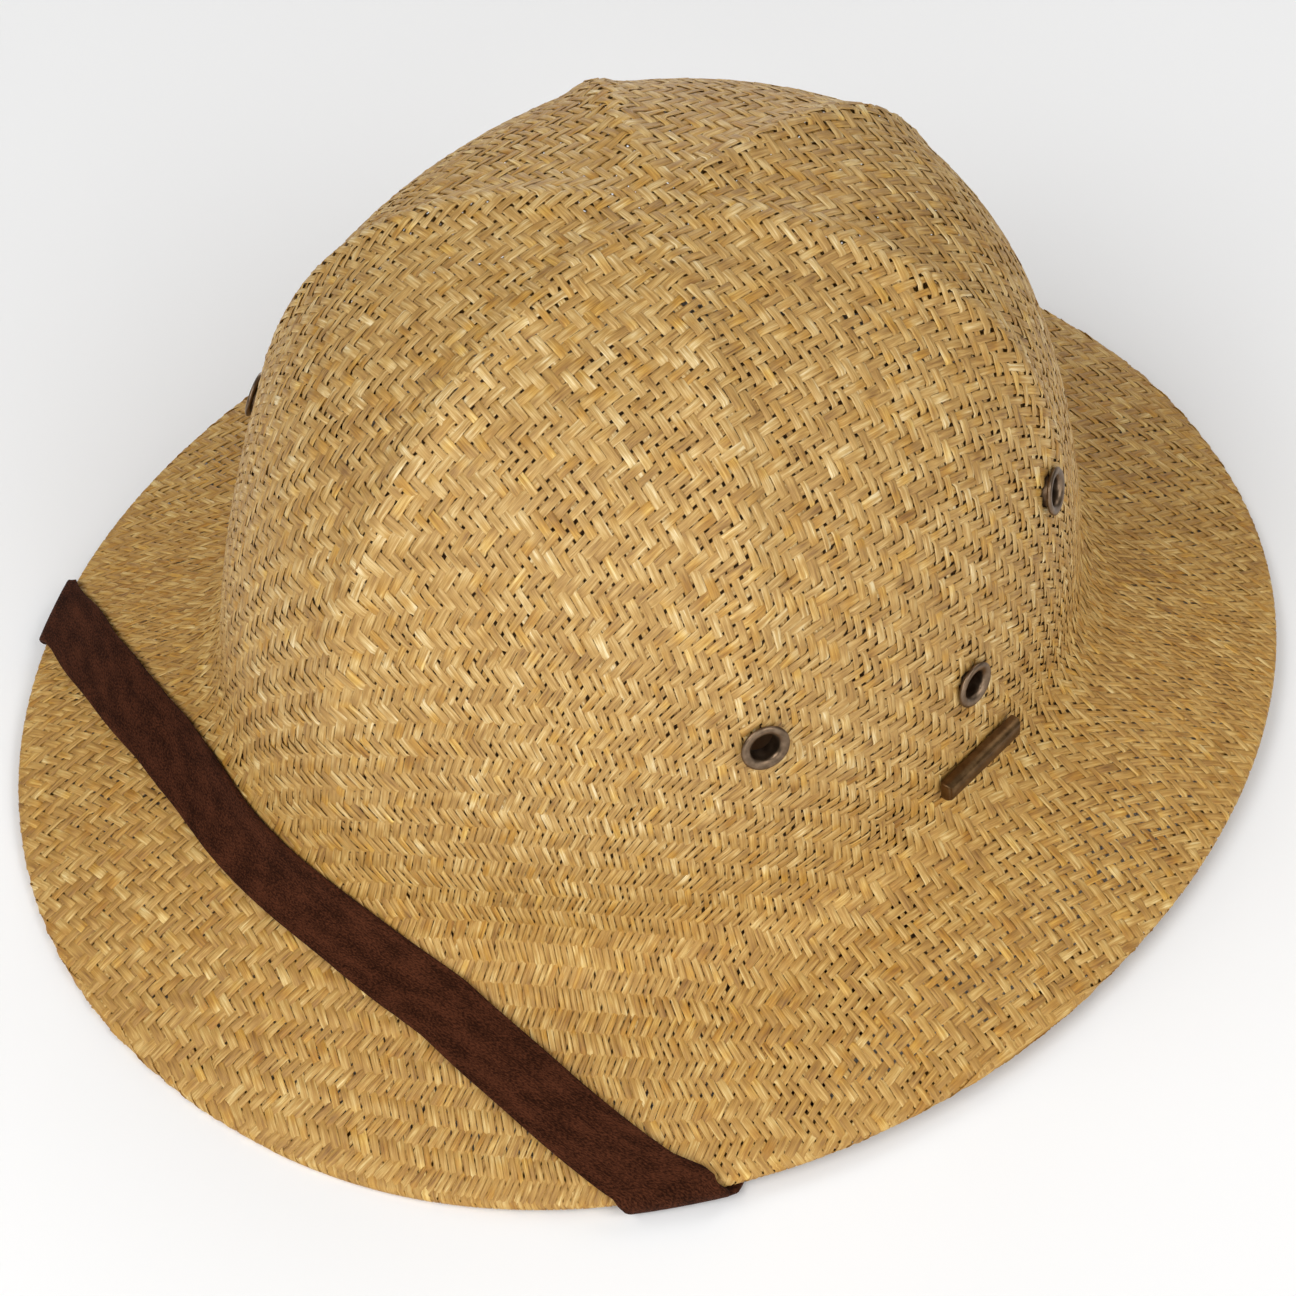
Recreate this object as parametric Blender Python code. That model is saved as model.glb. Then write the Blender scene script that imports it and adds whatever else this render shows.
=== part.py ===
"""Straw sun hat: a blocked, six-panelled crown with a wide sloping brim, six brass eyelets,
a brass bar badge and a suede chin strap that lies across the front of the brim.

Metres, +Z up. The wearer faces -Y and has the left hand at +X. The origin is the middle of the
hat's bounding box, on the surface that the brim rests on.
"""

import bmesh
import bpy
import numpy as np
from mathutils import Matrix, Vector
from mathutils.bvhtree import BVHTree

MM = 0.001

# Crown: height of its top and of its foot, half width, half length and how far forward it sits
CROWN_TOP = 139.5 * MM
CROWN_FOOT = 22.4 * MM
CROWN_HALF_WIDTH = 90.2 * MM
CROWN_HALF_LENGTH = 105.6 * MM
CROWN_FORWARD = 1.6 * MM
CROWN_TAPER = 0.128
SHOULDER_POWER = 3.66
SHOULDER_ROUND = 2.51

# Panels: six flat-sided panels between soft ridges that run down from the apex
PANELS = 6
PANEL_HOLLOW = 0.17
RIDGE_HEIGHT = 0.8 * MM
RIDGE_WIDTH = 5.0 * MM

# Brim: half width and half length of its upper skin, height of its edge and rise at the sides
BRIM_HALF_WIDTH = 131.4 * MM
BRIM_HALF_LENGTH = 154.5 * MM
BRIM_SQUARENESS = 2.085
BRIM_EDGE_HEIGHT = 2.62 * MM
SIDE_LIFT = 3.8 * MM
LEVEL_PART = 0.34
FILLET_RISE = 0.10
FILLET_SPREAD = 0.28
BRIM_DROOP = 0.25

# Straw: thickness of one layer, thickness of the hem and where the hem ends on the underside
STRAW = 1.6 * MM
HEM = 3.0 * MM
HEM_INNER_EDGE = 2.77
SEGMENTS = 78

# Eyelets: radii, roll height and places as angle from the front and share of the way down
GAP = 0.3 * MM
EYELET_HOLE_RADIUS = 3.0 * MM
EYELET_BARREL_RADIUS = 3.4 * MM
EYELET_FLANGE_RADIUS = 5.15 * MM
EYELET_BACK_RADIUS = 4.6 * MM
EYELET_ROLL = 0.9 * MM
STRAW_HOLE_RADIUS = 3.75 * MM
EYELET_SIDES = 16
EYELETS = [
    # name, angle from the front in degrees, way down the crown
    ("front", 60.2, 0.8255),
    ("middle", 91.5, 0.8985),
    ("back", 115.0, 0.8015),
]

# Badge: a straight bar with a rounded face, level on the crown wall at the wearer's left
BADGE_LENGTH = 24.8 * MM
BADGE_HEIGHT = 4.6 * MM
BADGE_DEPTH = 3.0 * MM
BADGE_ANGLE = 91.3
BADGE_WAY_DOWN = 0.984

# Strap: width, thickness, and its middle line over the front of the brim
STRAP_WIDTH = 14.4 * MM
STRAP_THICKNESS = 1.5 * MM
STRAP_HIDDEN_GAP = 0.7 * MM
STRAP_ANCHOR_ANGLE = 84.0
STRAP_ANCHOR_PLACE = 6.05
STRAP_FRONT = [
    # angle from the front in degrees, place down the profile
    (-55.75, 3.0),
    (-53.05, 2.8),
    (-49.05, 2.6),
    (-44.3, 2.38),
    (-40.0, 2.226),
    (-34.0, 2.044),
    (-28.0, 1.889),
    (-21.0, 1.754),
    (-14.0, 1.70),
    (-2.0, 1.66),
    (4.0, 1.672),
    (10.0, 1.728),
    (16.0, 1.829),
    (22.0, 1.954),
    (28.0, 2.126),
    (34.0, 2.336),
    (39.4, 2.58),
    (43.65, 2.8),
    (47.25, 3.0),
]
STRAP_LEAVES_TABLE = (-55.4, 46.9)
STRAP_MIDDLE = -2.0


def clear_scene():
    for obj in list(bpy.data.objects):
        bpy.data.objects.remove(obj, do_unlink=True)


def make_material(name, colour, roughness, metallic):
    material = bpy.data.materials.new(name)
    material.use_nodes = True
    shader = material.node_tree.nodes["Principled BSDF"]
    shader.inputs["Base Color"].default_value = (*colour, 1.0)
    shader.inputs["Roughness"].default_value = roughness
    shader.inputs["Metallic"].default_value = metallic
    material.diffuse_color = (*colour, 1.0)
    return material


def mesh_object(name, points, faces, material):
    """A smooth-shaded object from rows of points, with its faces turned outward."""
    mesh = bpy.data.meshes.new(name)
    mesh.from_pydata([tuple(p) for p in points], [], faces)
    shape = bmesh.new()
    shape.from_mesh(mesh)
    bmesh.ops.recalc_face_normals(shape, faces=shape.faces)
    shape.to_mesh(mesh)
    shape.free()
    mesh.shade_smooth()
    mesh.set_sharp_from_angle(angle=np.radians(40))
    mesh.materials.append(material)
    obj = bpy.data.objects.new(name, mesh)
    bpy.context.scene.collection.objects.link(obj)
    return obj


# The hat's form. An angle of 0 is the front, and it turns toward the wearer's left. A place on
# the profile runs 0 to 1 down the crown, 1 to 2 round the fillet and 2 to 3 out along the brim.
def smooth(x):
    x = np.clip(x, 0.0, 1.0)
    return x * x * (3.0 - 2.0 * x)


def rise_of(place):
    """How high up the crown a place lies, from 1 at the apex to FILLET_RISE above the foot."""
    return 1.0 - (1.0 - FILLET_RISE) * np.clip(place, 0.0, 1.0) ** 2.5


def crown_share(rise):
    """The crown's radius at this height, as a share of its radius at the foot."""
    rounded = np.clip(1.0 - rise**SHOULDER_POWER, 0.0, 1.0) ** (1.0 / SHOULDER_ROUND)
    return (1.0 - CROWN_TAPER * rise) * rounded


def crown_point(angle, rise):
    share = crown_share(rise)
    x = CROWN_HALF_WIDTH * share * np.sin(angle)
    y = -CROWN_HALF_LENGTH * share * np.cos(angle) - CROWN_FORWARD
    z = CROWN_FOOT + (CROWN_TOP - CROWN_FOOT) * rise + 0.0 * angle
    return np.stack([x, y, z], axis=-1)


def edge_point(angle):
    """The brim's edge: a slightly squared oval, level at front and back and lifted at the sides."""
    s, c = np.sin(angle), np.cos(angle)
    radius = (np.abs(s) ** BRIM_SQUARENESS + np.abs(c) ** BRIM_SQUARENESS) ** (-1.0 / BRIM_SQUARENESS)
    lift = SIDE_LIFT * smooth((np.abs(s) - LEVEL_PART) / (1.0 - LEVEL_PART))
    x = BRIM_HALF_WIDTH * radius * s
    y = -BRIM_HALF_LENGTH * radius * c
    return np.stack([x, y, BRIM_EDGE_HEIGHT + lift], axis=-1)


def brim_point(angle, out):
    foot = crown_point(angle, 0.0 * angle)
    span = edge_point(angle) - foot
    point = foot + span * out[..., None]
    fall = (1.0 - BRIM_DROOP) * out + BRIM_DROOP * out * out
    point[..., 2] = foot[..., 2] + span[..., 2] * fall
    return point


def plain_form(angle, place):
    angle, place = np.broadcast_arrays(np.asarray(angle, float), np.asarray(place, float))
    crown = crown_point(angle, rise_of(place))
    out = FILLET_SPREAD + (1.0 - FILLET_SPREAD) * np.clip(place - 2.0, 0.0, 2.0)
    brim = brim_point(angle, out)
    start = crown_point(angle, 0.0 * angle + FILLET_RISE)
    corner = crown_point(angle, 0.0 * angle)
    end = brim_point(angle, 0.0 * angle + FILLET_SPREAD)
    t = np.clip(place - 1.0, 0.0, 1.0)[..., None]
    fillet = (1.0 - t) ** 2 * start + 2.0 * t * (1.0 - t) * corner + t * t * end
    return np.where((place <= 1.0)[..., None], crown, np.where((place >= 2.0)[..., None], brim, fillet))


def normal_of(form, angle, place, step=1e-3):
    angle, place = np.broadcast_arrays(np.asarray(angle, float), np.asarray(place, float))
    place = np.maximum(place, 2e-3)
    round_the_hat = form(angle + step, place) - form(angle - step, place)
    down_the_hat = form(angle, place + step) - form(angle, place - step)
    normal = np.cross(down_the_hat, round_the_hat)
    return normal / np.linalg.norm(normal, axis=-1, keepdims=True)


def panel_relief(angle, place):
    """Height over the plain form: a soft crest at each ridge and a slight hollow between."""
    rise = rise_of(place)
    radius = 100.0 * MM * crown_share(rise)
    half = np.pi / PANELS
    off_ridge = np.abs((angle + half) % (2.0 * half) - half)
    share = np.clip(np.sqrt((off_ridge / half) ** 2 + 0.05**2), 0.0, 1.0)
    hollow = PANEL_HOLLOW * 0.134 * radius * (1.0 - (1.0 - share) ** 2)
    crest = RIDGE_HEIGHT * np.exp(-((off_ridge * radius / RIDGE_WIDTH) ** 2)) * smooth(radius / (25.0 * MM))
    return np.where(place < 1.0, smooth((rise - 0.12) / 0.45) * (crest - hollow), 0.0)


def outer_form(angle, place):
    angle, place = np.broadcast_arrays(np.asarray(angle, float), np.asarray(place, float))
    relief = panel_relief(angle, place)
    return plain_form(angle, place) + normal_of(plain_form, angle, place) * relief[..., None]


def wall_thickness(place):
    """One layer of straw, and the doubled hem along the brim's edge."""
    return STRAW + (HEM - STRAW) * smooth((place - (HEM_INNER_EDGE - 0.02)) / 0.04)


def skin(angle, place, height=0.0):
    """The whole surface: 0 to 3 outside, 3 to 4 round the hem's edge, 4 to 7 back up the inside."""
    angle, place = np.broadcast_arrays(np.asarray(angle, float), np.asarray(place, float))
    outside = np.clip(np.where(place <= 3.5, place, 7.0 - place), 0.0, 3.0)
    point = outer_form(angle, outside)
    normal = normal_of(outer_form, angle, outside)
    tangent = outer_form(angle + 1e-3, outside) - outer_form(angle - 1e-3, outside)
    tangent /= np.maximum(np.linalg.norm(tangent, axis=-1, keepdims=True), 1e-12)
    outward = np.cross(tangent, normal)
    turn = np.pi * np.clip(place - 3.0, 0.0, 1.0)[..., None]
    facing = np.cos(turn) * normal + np.sin(turn) * outward
    upper = point + normal * height
    nose = point - normal * (0.5 * HEM) + facing * (0.5 * HEM + height)
    under = point - normal * (wall_thickness(outside)[..., None] + height)
    return np.where((place <= 3.0)[..., None], upper, np.where((place < 4.0)[..., None], nose, under))


# Straw body: rows of points down the outside, round the hem and back up the inside
def body_rows():
    crown = [0.08, 0.17, 0.26, 0.35, 0.44, 0.53, 0.62, 0.71, 0.79, 0.86, 0.93, 1.0]
    fillet = [1.17, 1.34, 1.5, 1.67, 1.84, 2.0]
    brim = [2.25, 2.5, HEM_INNER_EDGE - 0.02, HEM_INNER_EDGE + 0.02, 3.0]
    nose = [3.0 + turn / 180.0 for turn in (35.0, 70.0, 105.0, 138.0, 180.0)]
    outside = crown + fillet + brim
    return outside + nose + [7.0 - place for place in reversed(outside[:-1])]


def build_body(material):
    rows = body_rows()
    angles = np.arange(SEGMENTS) * 2.0 * np.pi / SEGMENTS
    grid_angle, grid_place = np.meshgrid(angles, rows)
    ring_points = skin(grid_angle, grid_place).reshape(-1, 3)
    top = (0.0, -CROWN_FORWARD, CROWN_TOP)
    points = np.vstack([ring_points, [top], [(0.0, -CROWN_FORWARD, CROWN_TOP - STRAW)]])
    points[:, 2] = np.maximum(points[:, 2], 0.0)
    outer_pole = len(ring_points)
    inner_pole = outer_pole + 1
    faces = []
    for i in range(SEGMENTS):
        j = (i + 1) % SEGMENTS
        faces.append((outer_pole, i, j))
        last = (len(rows) - 1) * SEGMENTS
        faces.append((inner_pole, last + j, last + i))
        for row in range(len(rows) - 1):
            a, b = row * SEGMENTS, (row + 1) * SEGMENTS
            faces.append((a + i, b + i, b + j, a + j))
    return mesh_object("straw_body", points, faces, material)


# Eyelets: a turned brass ring clinched through a hole in the straw
def tree_of(obj):
    return BVHTree.FromPolygons(
        [vertex.co.copy() for vertex in obj.data.vertices],
        [tuple(polygon.vertices) for polygon in obj.data.polygons],
    )


def seat_heights(tree, frame):
    """The straw's highest outer point and deepest inner point under the eyelet, along its axis."""
    heights = []
    for radius in (STRAW_HOLE_RADIUS, EYELET_FLANGE_RADIUS):
        for turn in np.arange(24) * 2.0 * np.pi / 24:
            spot = Vector((radius * np.cos(turn), radius * np.sin(turn), 0.0))
            axis = frame.to_3x3() @ Vector((0.0, 0.0, 1.0))
            start = frame @ spot
            outside = tree.ray_cast(start + axis * 0.01, -axis)[0]
            inside = tree.ray_cast(start - axis * 0.01, axis)[0]
            heights.append(((outside - start).dot(axis), (inside - start).dot(axis)))
    return max(high for high, low in heights), min(low for high, low in heights)


def eyelet_profile(outer_seat, inner_seat):
    """Radius and height of the section: the rolled front, then the barrel and the flared back."""
    front, back = outer_seat + GAP, inner_seat - GAP
    roll = EYELET_ROLL
    return [
        (EYELET_HOLE_RADIUS, back - 0.35 * roll),
        (EYELET_HOLE_RADIUS, front + 0.65 * roll),
        (EYELET_HOLE_RADIUS + 0.75 * roll, front + roll),
        (EYELET_FLANGE_RADIUS - 0.25 * roll, front + 0.75 * roll),
        (EYELET_FLANGE_RADIUS, front + 0.20 * roll),
        (EYELET_FLANGE_RADIUS - 0.20 * roll, front),
        (EYELET_BARREL_RADIUS, front),
        (EYELET_BARREL_RADIUS, back),
        (EYELET_BACK_RADIUS, back),
        (EYELET_BACK_RADIUS - 0.30 * roll, back - 0.60 * roll),
    ]


def spun_ring(name, profile, material):
    shape = bmesh.new()
    points = [shape.verts.new((radius, 0.0, height)) for radius, height in profile]
    edges = [shape.edges.new((points[i - 1], points[i])) for i in range(len(points))]
    bmesh.ops.spin(
        shape,
        geom=points + edges,
        cent=(0.0, 0.0, 0.0),
        axis=(0.0, 0.0, 1.0),
        angle=2.0 * np.pi,
        steps=EYELET_SIDES,
        use_merge=True,
    )
    bmesh.ops.recalc_face_normals(shape, faces=shape.faces)
    mesh = bpy.data.meshes.new(name)
    shape.to_mesh(mesh)
    shape.free()
    mesh.shade_smooth()
    mesh.set_sharp_from_angle(angle=np.radians(60))
    mesh.materials.append(material)
    obj = bpy.data.objects.new(name, mesh)
    bpy.context.scene.collection.objects.link(obj)
    return obj


def frame_on_crown(angle, place):
    """Placed on the crown, with +Z out of the straw."""
    point = Vector(skin(angle, place))
    normal = Vector(normal_of(plain_form, angle, place))
    return Matrix.Translation(point) @ normal.to_track_quat("Z", "Y").to_matrix().to_4x4()


def drill(body, name, frame):
    bpy.ops.mesh.primitive_cylinder_add(vertices=EYELET_SIDES, radius=STRAW_HOLE_RADIUS, depth=12.0 * MM)
    cutter = bpy.context.object
    cutter.name = "cutter_" + name
    cutter.matrix_world = frame
    cutter.hide_render = True
    cutter.display_type = "WIRE"
    hole = body.modifiers.new("Hole " + name, "BOOLEAN")
    hole.operation = "DIFFERENCE"
    hole.object = cutter


def build_eyelets(body, material):
    tree = tree_of(body)
    for side, sign in (("left", 1.0), ("right", -1.0)):
        for place_name, degrees, place in EYELETS:
            name = side + "_" + place_name
            frame = frame_on_crown(sign * np.radians(degrees), place)
            outer_seat, inner_seat = seat_heights(tree, frame)
            ring = spun_ring("eyelet_" + name, eyelet_profile(outer_seat, inner_seat), material)
            ring.matrix_world = frame
            drill(body, name, frame)


# Badge: the same rounded section at each station along a straight bar, smaller at its ends
def badge_section():
    half = 0.5 * BADGE_HEIGHT
    edge = 0.25 * BADGE_DEPTH
    front = [(half * np.cos(t), edge + (BADGE_DEPTH - edge) * np.sin(t)) for t in np.linspace(0.0, np.pi, 8)]
    return [(-half, 0.0), (half, 0.0)] + front


def build_badge(material):
    section = badge_section()
    stations = [
        # distance from the middle as a share of half the length, size of the section
        (-1.0, 0.80),
        (-0.96, 1.0),
        (0.96, 1.0),
        (1.0, 0.80),
    ]
    angle = np.radians(BADGE_ANGLE)
    seat = skin(angle, BADGE_WAY_DOWN)
    out = normal_of(plain_form, angle, BADGE_WAY_DOWN)
    along = np.array([np.cos(angle), np.sin(angle), 0.0])
    along = unit(along - out * dot(along, out))
    up = np.cross(along, out)
    points = []
    for share, size in stations:
        middle = seat + along * share * 0.5 * BADGE_LENGTH + out * (GAP + 0.5 * BADGE_DEPTH)
        for height, depth in section:
            points.append(middle + size * (up * height + out * (depth - 0.5 * BADGE_DEPTH)))
    count = len(section)
    faces = [tuple(range(count)), tuple(range(len(points) - count, len(points)))[::-1]]
    for row in range(len(stations) - 1):
        for i in range(count):
            j = (i + 1) % count
            a, b = row * count, (row + 1) * count
            faces.append((a + i, b + i, b + j, a + j))
    return mesh_object("badge_bar", points, faces, material)


# Strap: a suede ribbon that follows the surface, found by walking over it
def through_rows(x, rows):
    """A smooth curve through rows of x and value (Catmull-Rom slopes)."""
    xs = np.array([row[0] for row in rows])
    values = np.array([row[1] for row in rows])
    slopes = np.gradient(values, xs)
    i = np.clip(np.searchsorted(xs, x) - 1, 0, len(xs) - 2)
    span = xs[i + 1] - xs[i]
    t = (x - xs[i]) / span
    blend = t * t * (3.0 - 2.0 * t)
    start = values[i] * (1.0 - blend) + slopes[i] * span * t * (1.0 - t) ** 2
    return start + values[i + 1] * blend - slopes[i + 1] * span * t * t * (1.0 - t)


def surface_frame(angle, place):
    """Point, the two directions along the surface per unit of angle and place, and normal."""
    step = 1e-3
    by_angle = (skin(angle + step, place) - skin(angle - step, place)) / (2.0 * step)
    by_place = (skin(angle, place + step) - skin(angle, place - step)) / (2.0 * step)
    normal = np.cross(by_place, by_angle)
    return by_angle, by_place, normal / np.linalg.norm(normal, axis=-1, keepdims=True)


def dot(a, b):
    return np.sum(a * b, axis=-1, keepdims=True)


def unit(a):
    return a / np.linalg.norm(a, axis=-1, keepdims=True)


def step_along(angle, place, heading, distance):
    """One short step over the surface, and the heading turned to stay on it."""
    by_angle, by_place, normal = surface_frame(angle, place)
    heading = unit(heading - normal * dot(heading, normal))
    aa, ap, pp = dot(by_angle, by_angle), dot(by_angle, by_place), dot(by_place, by_place)
    ha, hp = dot(by_angle, heading), dot(by_place, heading)
    scale = distance / (aa * pp - ap * ap)
    angle = angle + (scale * (pp * ha - ap * hp))[..., 0]
    place = place + (scale * (aa * hp - ap * ha))[..., 0]
    return angle, place, heading


def strap_half(side):
    """Places along the strap's middle line, from the front to its anchor inside one temple."""
    leaves = STRAP_LEAVES_TABLE[1] if side > 0 else STRAP_LEAVES_TABLE[0]
    degrees = STRAP_MIDDLE + (leaves - STRAP_MIDDLE) * np.sin(np.linspace(0.0, 0.5 * np.pi, 90))
    angles = list(np.radians(degrees))
    places = list(through_rows(degrees, STRAP_FRONT))
    last, before = skin(angles[-1], places[-1]), skin(angles[-2], places[-2])
    heading = unit(last - before)
    angle, place = np.float64(angles[-1]), np.float64(places[-1])
    target_angle = side * np.radians(STRAP_ANCHOR_ANGLE)
    target = skin(target_angle, STRAP_ANCHOR_PLACE)
    nearest = np.inf
    for _ in range(400):
        wrapped = place > 4.12
        if wrapped:
            toward = target - skin(angle, place)
            away = np.linalg.norm(toward)
            if away > nearest:
                break
            nearest = away
            heading = unit(heading + 0.05 * toward / away)
        length = (1.0 if wrapped or place < 2.9 else 0.35) * MM
        angle, place, heading = step_along(angle, place, heading, length)
        angles.append(float(angle))
        places.append(float(place))
    return np.array(angles), np.array(places)


def strap_strands(side):
    """The strap's lines from front to anchor, each at its own distance from the middle line."""
    angles, places = strap_half(side)
    line = skin(angles, places)
    along = unit(np.gradient(line, axis=0))
    normal = surface_frame(angles, places)[2]
    across = side * np.cross(normal, along)
    strands = []
    for share in (-1.0, -1.0 / 3.0, 1.0 / 3.0, 1.0):
        a, p, heading = angles, places, across * np.sign(share)
        count = int(np.ceil(abs(share) * 20))
        for _ in range(count):
            a, p, heading = step_along(a, p, heading, abs(share) * 0.5 * STRAP_WIDTH / count)
        strands.append((a, p))
    return strands


def strap_rows(side):
    """Rows of places across the strap. Round the brim's edge each row lies along the edge."""
    edge_rows = np.array([2.8, 2.96, 3.1, 3.28, 3.5, 3.72, 3.9, 4.06, 4.2])
    columns = []
    for angles, places in strap_strands(side):
        index = np.arange(len(places), dtype=float)
        turning = index > np.max(index[places < 2.6], initial=0.0)
        at_edge = np.interp(edge_rows, places[turning], index[turning])
        front = at_edge[0] * np.linspace(0.0, 1.0, 14)[:-1]
        hidden = at_edge[-1] + (index[-1] - at_edge[-1]) * np.linspace(0.0, 1.0, 14)[1:]
        rows = np.concatenate([front, at_edge, hidden])
        columns.append(np.stack([np.interp(rows, index, angles), np.interp(rows, index, places)], axis=-1))
    return np.stack(columns, axis=1)


def build_strap(material):
    rows = np.vstack([strap_rows(-1.0)[:0:-1], strap_rows(1.0)])
    angles, places = rows[..., 0], rows[..., 1]
    gap = GAP + (STRAP_HIDDEN_GAP - GAP) * smooth((places[..., None] - 4.06) / 0.14)
    under = skin(angles, places, gap)
    over = skin(angles, places, gap + STRAP_THICKNESS)
    loops = np.concatenate([under, over[:, ::-1]], axis=1)
    count = loops.shape[1]
    points = loops.reshape(-1, 3)
    faces = [tuple(range(count)), tuple(range(len(points) - count, len(points)))[::-1]]
    for row in range(len(loops) - 1):
        for i in range(count):
            j = (i + 1) % count
            a, b = row * count, (row + 1) * count
            faces.append((a + i, b + i, b + j, a + j))
    return mesh_object("strap", points, faces, material)


def main():
    clear_scene()
    straw = make_material("straw", (0.61, 0.376, 0.114), 0.75, 0.0)
    brass = make_material("brass", (0.42, 0.29, 0.12), 0.35, 1.0)
    suede = make_material("suede", (0.045, 0.015, 0.010), 0.9, 0.0)
    body = build_body(straw)
    build_eyelets(body, brass)
    build_badge(brass)
    build_strap(suede)


main()
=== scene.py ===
# %% [markdown]
# # A blocked straw sun hat, woven strand by strand
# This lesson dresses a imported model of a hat. The hat is one shell of twill-woven straw, blocked
# over a six-panelled form, with a turned hem, six brass eyelets, a small metal bar at the foot of
# the crown and a suede chin strap that lies over the front of the brim.
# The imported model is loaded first. It is the frame that every later piece has to fit.

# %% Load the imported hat
import math

import bpy
import numpy as np
from mathutils import Matrix, Vector


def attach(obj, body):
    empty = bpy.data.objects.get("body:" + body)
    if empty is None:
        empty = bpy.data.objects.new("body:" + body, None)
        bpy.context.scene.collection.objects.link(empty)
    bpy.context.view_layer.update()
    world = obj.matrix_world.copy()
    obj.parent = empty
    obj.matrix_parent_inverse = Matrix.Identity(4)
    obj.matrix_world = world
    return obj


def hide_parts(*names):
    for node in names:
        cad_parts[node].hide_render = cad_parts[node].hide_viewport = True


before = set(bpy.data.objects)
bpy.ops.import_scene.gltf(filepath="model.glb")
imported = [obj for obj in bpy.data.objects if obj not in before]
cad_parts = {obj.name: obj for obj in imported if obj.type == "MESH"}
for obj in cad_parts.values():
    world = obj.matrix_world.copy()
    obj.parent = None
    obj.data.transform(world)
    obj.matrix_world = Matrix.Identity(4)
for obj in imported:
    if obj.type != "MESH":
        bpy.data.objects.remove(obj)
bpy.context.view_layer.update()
MM = 0.001
print("nodes:", sorted(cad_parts))

# %% [markdown]
# ## Helpers for working as by hand
# Operators act on whatever is selected, and the loaded nodes start out selected. So every step
# begins by clearing the selection, and each finished piece is tied to the one rigid body.


# %% Selecting and finishing
def select_only(obj):
    bpy.ops.object.select_all(action="DESELECT")
    obj.select_set(True)
    bpy.context.view_layer.objects.active = obj


def apply_place(obj):
    """Moves the object's place into its mesh, so that the object itself sits at the origin."""
    select_only(obj)
    bpy.ops.object.transform_apply(location=True, rotation=True, scale=True)


def join_hat(piece, slot, *nodes):
    """The piece moves with the hat and stands for these nodes. The slot is not used."""
    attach(piece, "root")
    if nodes:
        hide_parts(*nodes)


bpy.ops.object.select_all(action="DESELECT")
print("nothing is selected")

# %% [markdown]
# ## Camera
# The photographer looked down at the hat from its front left with a long lens. A camera matrix
# with the right, up and backward directions as its columns says this without any tracking
# constraint. The lens follows from the distance and from how large the hat stands in the picture.

# %% Camera at the photograph's angle
CAMERA_AZIMUTH = math.radians(42.44)
CAMERA_ELEVATION = math.radians(49.01)
CAMERA_DISTANCE = 633.5 * MM
CAMERA_TARGET = Vector((16.68, -22.63, 36.55)) * MM
IMAGE_SIDE = 1296
FOCAL_PIXELS = 2909
SENSOR = 36.0

backward = Vector((
    math.sin(CAMERA_AZIMUTH) * math.cos(CAMERA_ELEVATION),
    -math.cos(CAMERA_AZIMUTH) * math.cos(CAMERA_ELEVATION),
    math.sin(CAMERA_ELEVATION),
))
rightward = Vector((math.cos(CAMERA_AZIMUTH), math.sin(CAMERA_AZIMUTH), 0.0))
upward = backward.cross(rightward)
camera_data = bpy.data.cameras.new("camera")
camera_data.sensor_width = SENSOR
camera_data.lens = SENSOR * FOCAL_PIXELS / IMAGE_SIDE
camera_data.clip_start = 0.02
camera_data.clip_end = 20.0
camera = bpy.data.objects.new("camera", camera_data)
turn = Matrix((rightward, upward, backward)).transposed().to_4x4()
camera.matrix_world = Matrix.Translation(CAMERA_TARGET + backward * CAMERA_DISTANCE) @ turn
bpy.context.scene.collection.objects.link(camera)
bpy.context.scene.camera = camera
print("lens in mm:", round(camera_data.lens, 1))

# %% [markdown]
# ## Floor and light
# A product like this is shown on a pale table inside a ring of soft lamps. The strongest ones
# stand before the hat and at its left, so they shine on the side that the camera sees. Weaker
# lamps low behind it give the top and the far brim a greyish sheen.
# Under the hat the table gets only light that straw has coloured. A brown oval that the brim
# hides stands in for this, so the pinholes of the weave look dark brown and not grey.

# %% Floor, lamps and world
FLOOR_SIDE = 8.0
LAMP_DISTANCE = 1.6
LAMP_SIZE = 0.8
LAMPS = [
    # name, turn from the front in degrees, height over the floor in degrees, power in watts
    ("front", 0.0, 45.0, 13.2),
    ("left side", 90.0, 45.0, 8.8),
    ("low front", 45.0, 15.0, 6.7),
    ("low back", 225.0, 15.0, 6.0),
    ("right side", 315.0, 45.0, 4.6),
    ("back", 180.0, 45.0, 4.3),
    ("low left", 90.0, 15.0, 3.4),
]

FLOOR_COLOUR = (0.90, 0.90, 0.90)
SHADE_COLOUR = (0.40, 0.24, 0.12)
SHADE_HALF_WIDTH = 110.0 * MM
SHADE_HALF_LENGTH = 132.0 * MM


def floor_material():
    material = bpy.data.materials.new("pale floor")
    material.use_nodes = True
    tree = material.node_tree
    shader = tree.nodes["Principled BSDF"]
    shader.inputs["Roughness"].default_value = 0.8
    place = tree.nodes.new("ShaderNodeTexCoord")
    oval = tree.nodes.new("ShaderNodeMapping")
    oval.inputs["Scale"].default_value = (1.0 / SHADE_HALF_WIDTH, 1.0 / SHADE_HALF_LENGTH, 0.0)
    away = tree.nodes.new("ShaderNodeVectorMath")
    away.operation = "LENGTH"
    ramp = tree.nodes.new("ShaderNodeValToRGB")
    ramp.color_ramp.elements[0].position = 0.90
    ramp.color_ramp.elements[0].color = (*SHADE_COLOUR, 1.0)
    ramp.color_ramp.elements[1].position = 1.0
    ramp.color_ramp.elements[1].color = (*FLOOR_COLOUR, 1.0)
    tree.links.new(place.outputs["Object"], oval.inputs["Vector"])
    tree.links.new(oval.outputs["Vector"], away.inputs[0])
    tree.links.new(away.outputs["Value"], ramp.inputs["Fac"])
    tree.links.new(ramp.outputs["Color"], shader.inputs["Base Color"])
    return material


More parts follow.
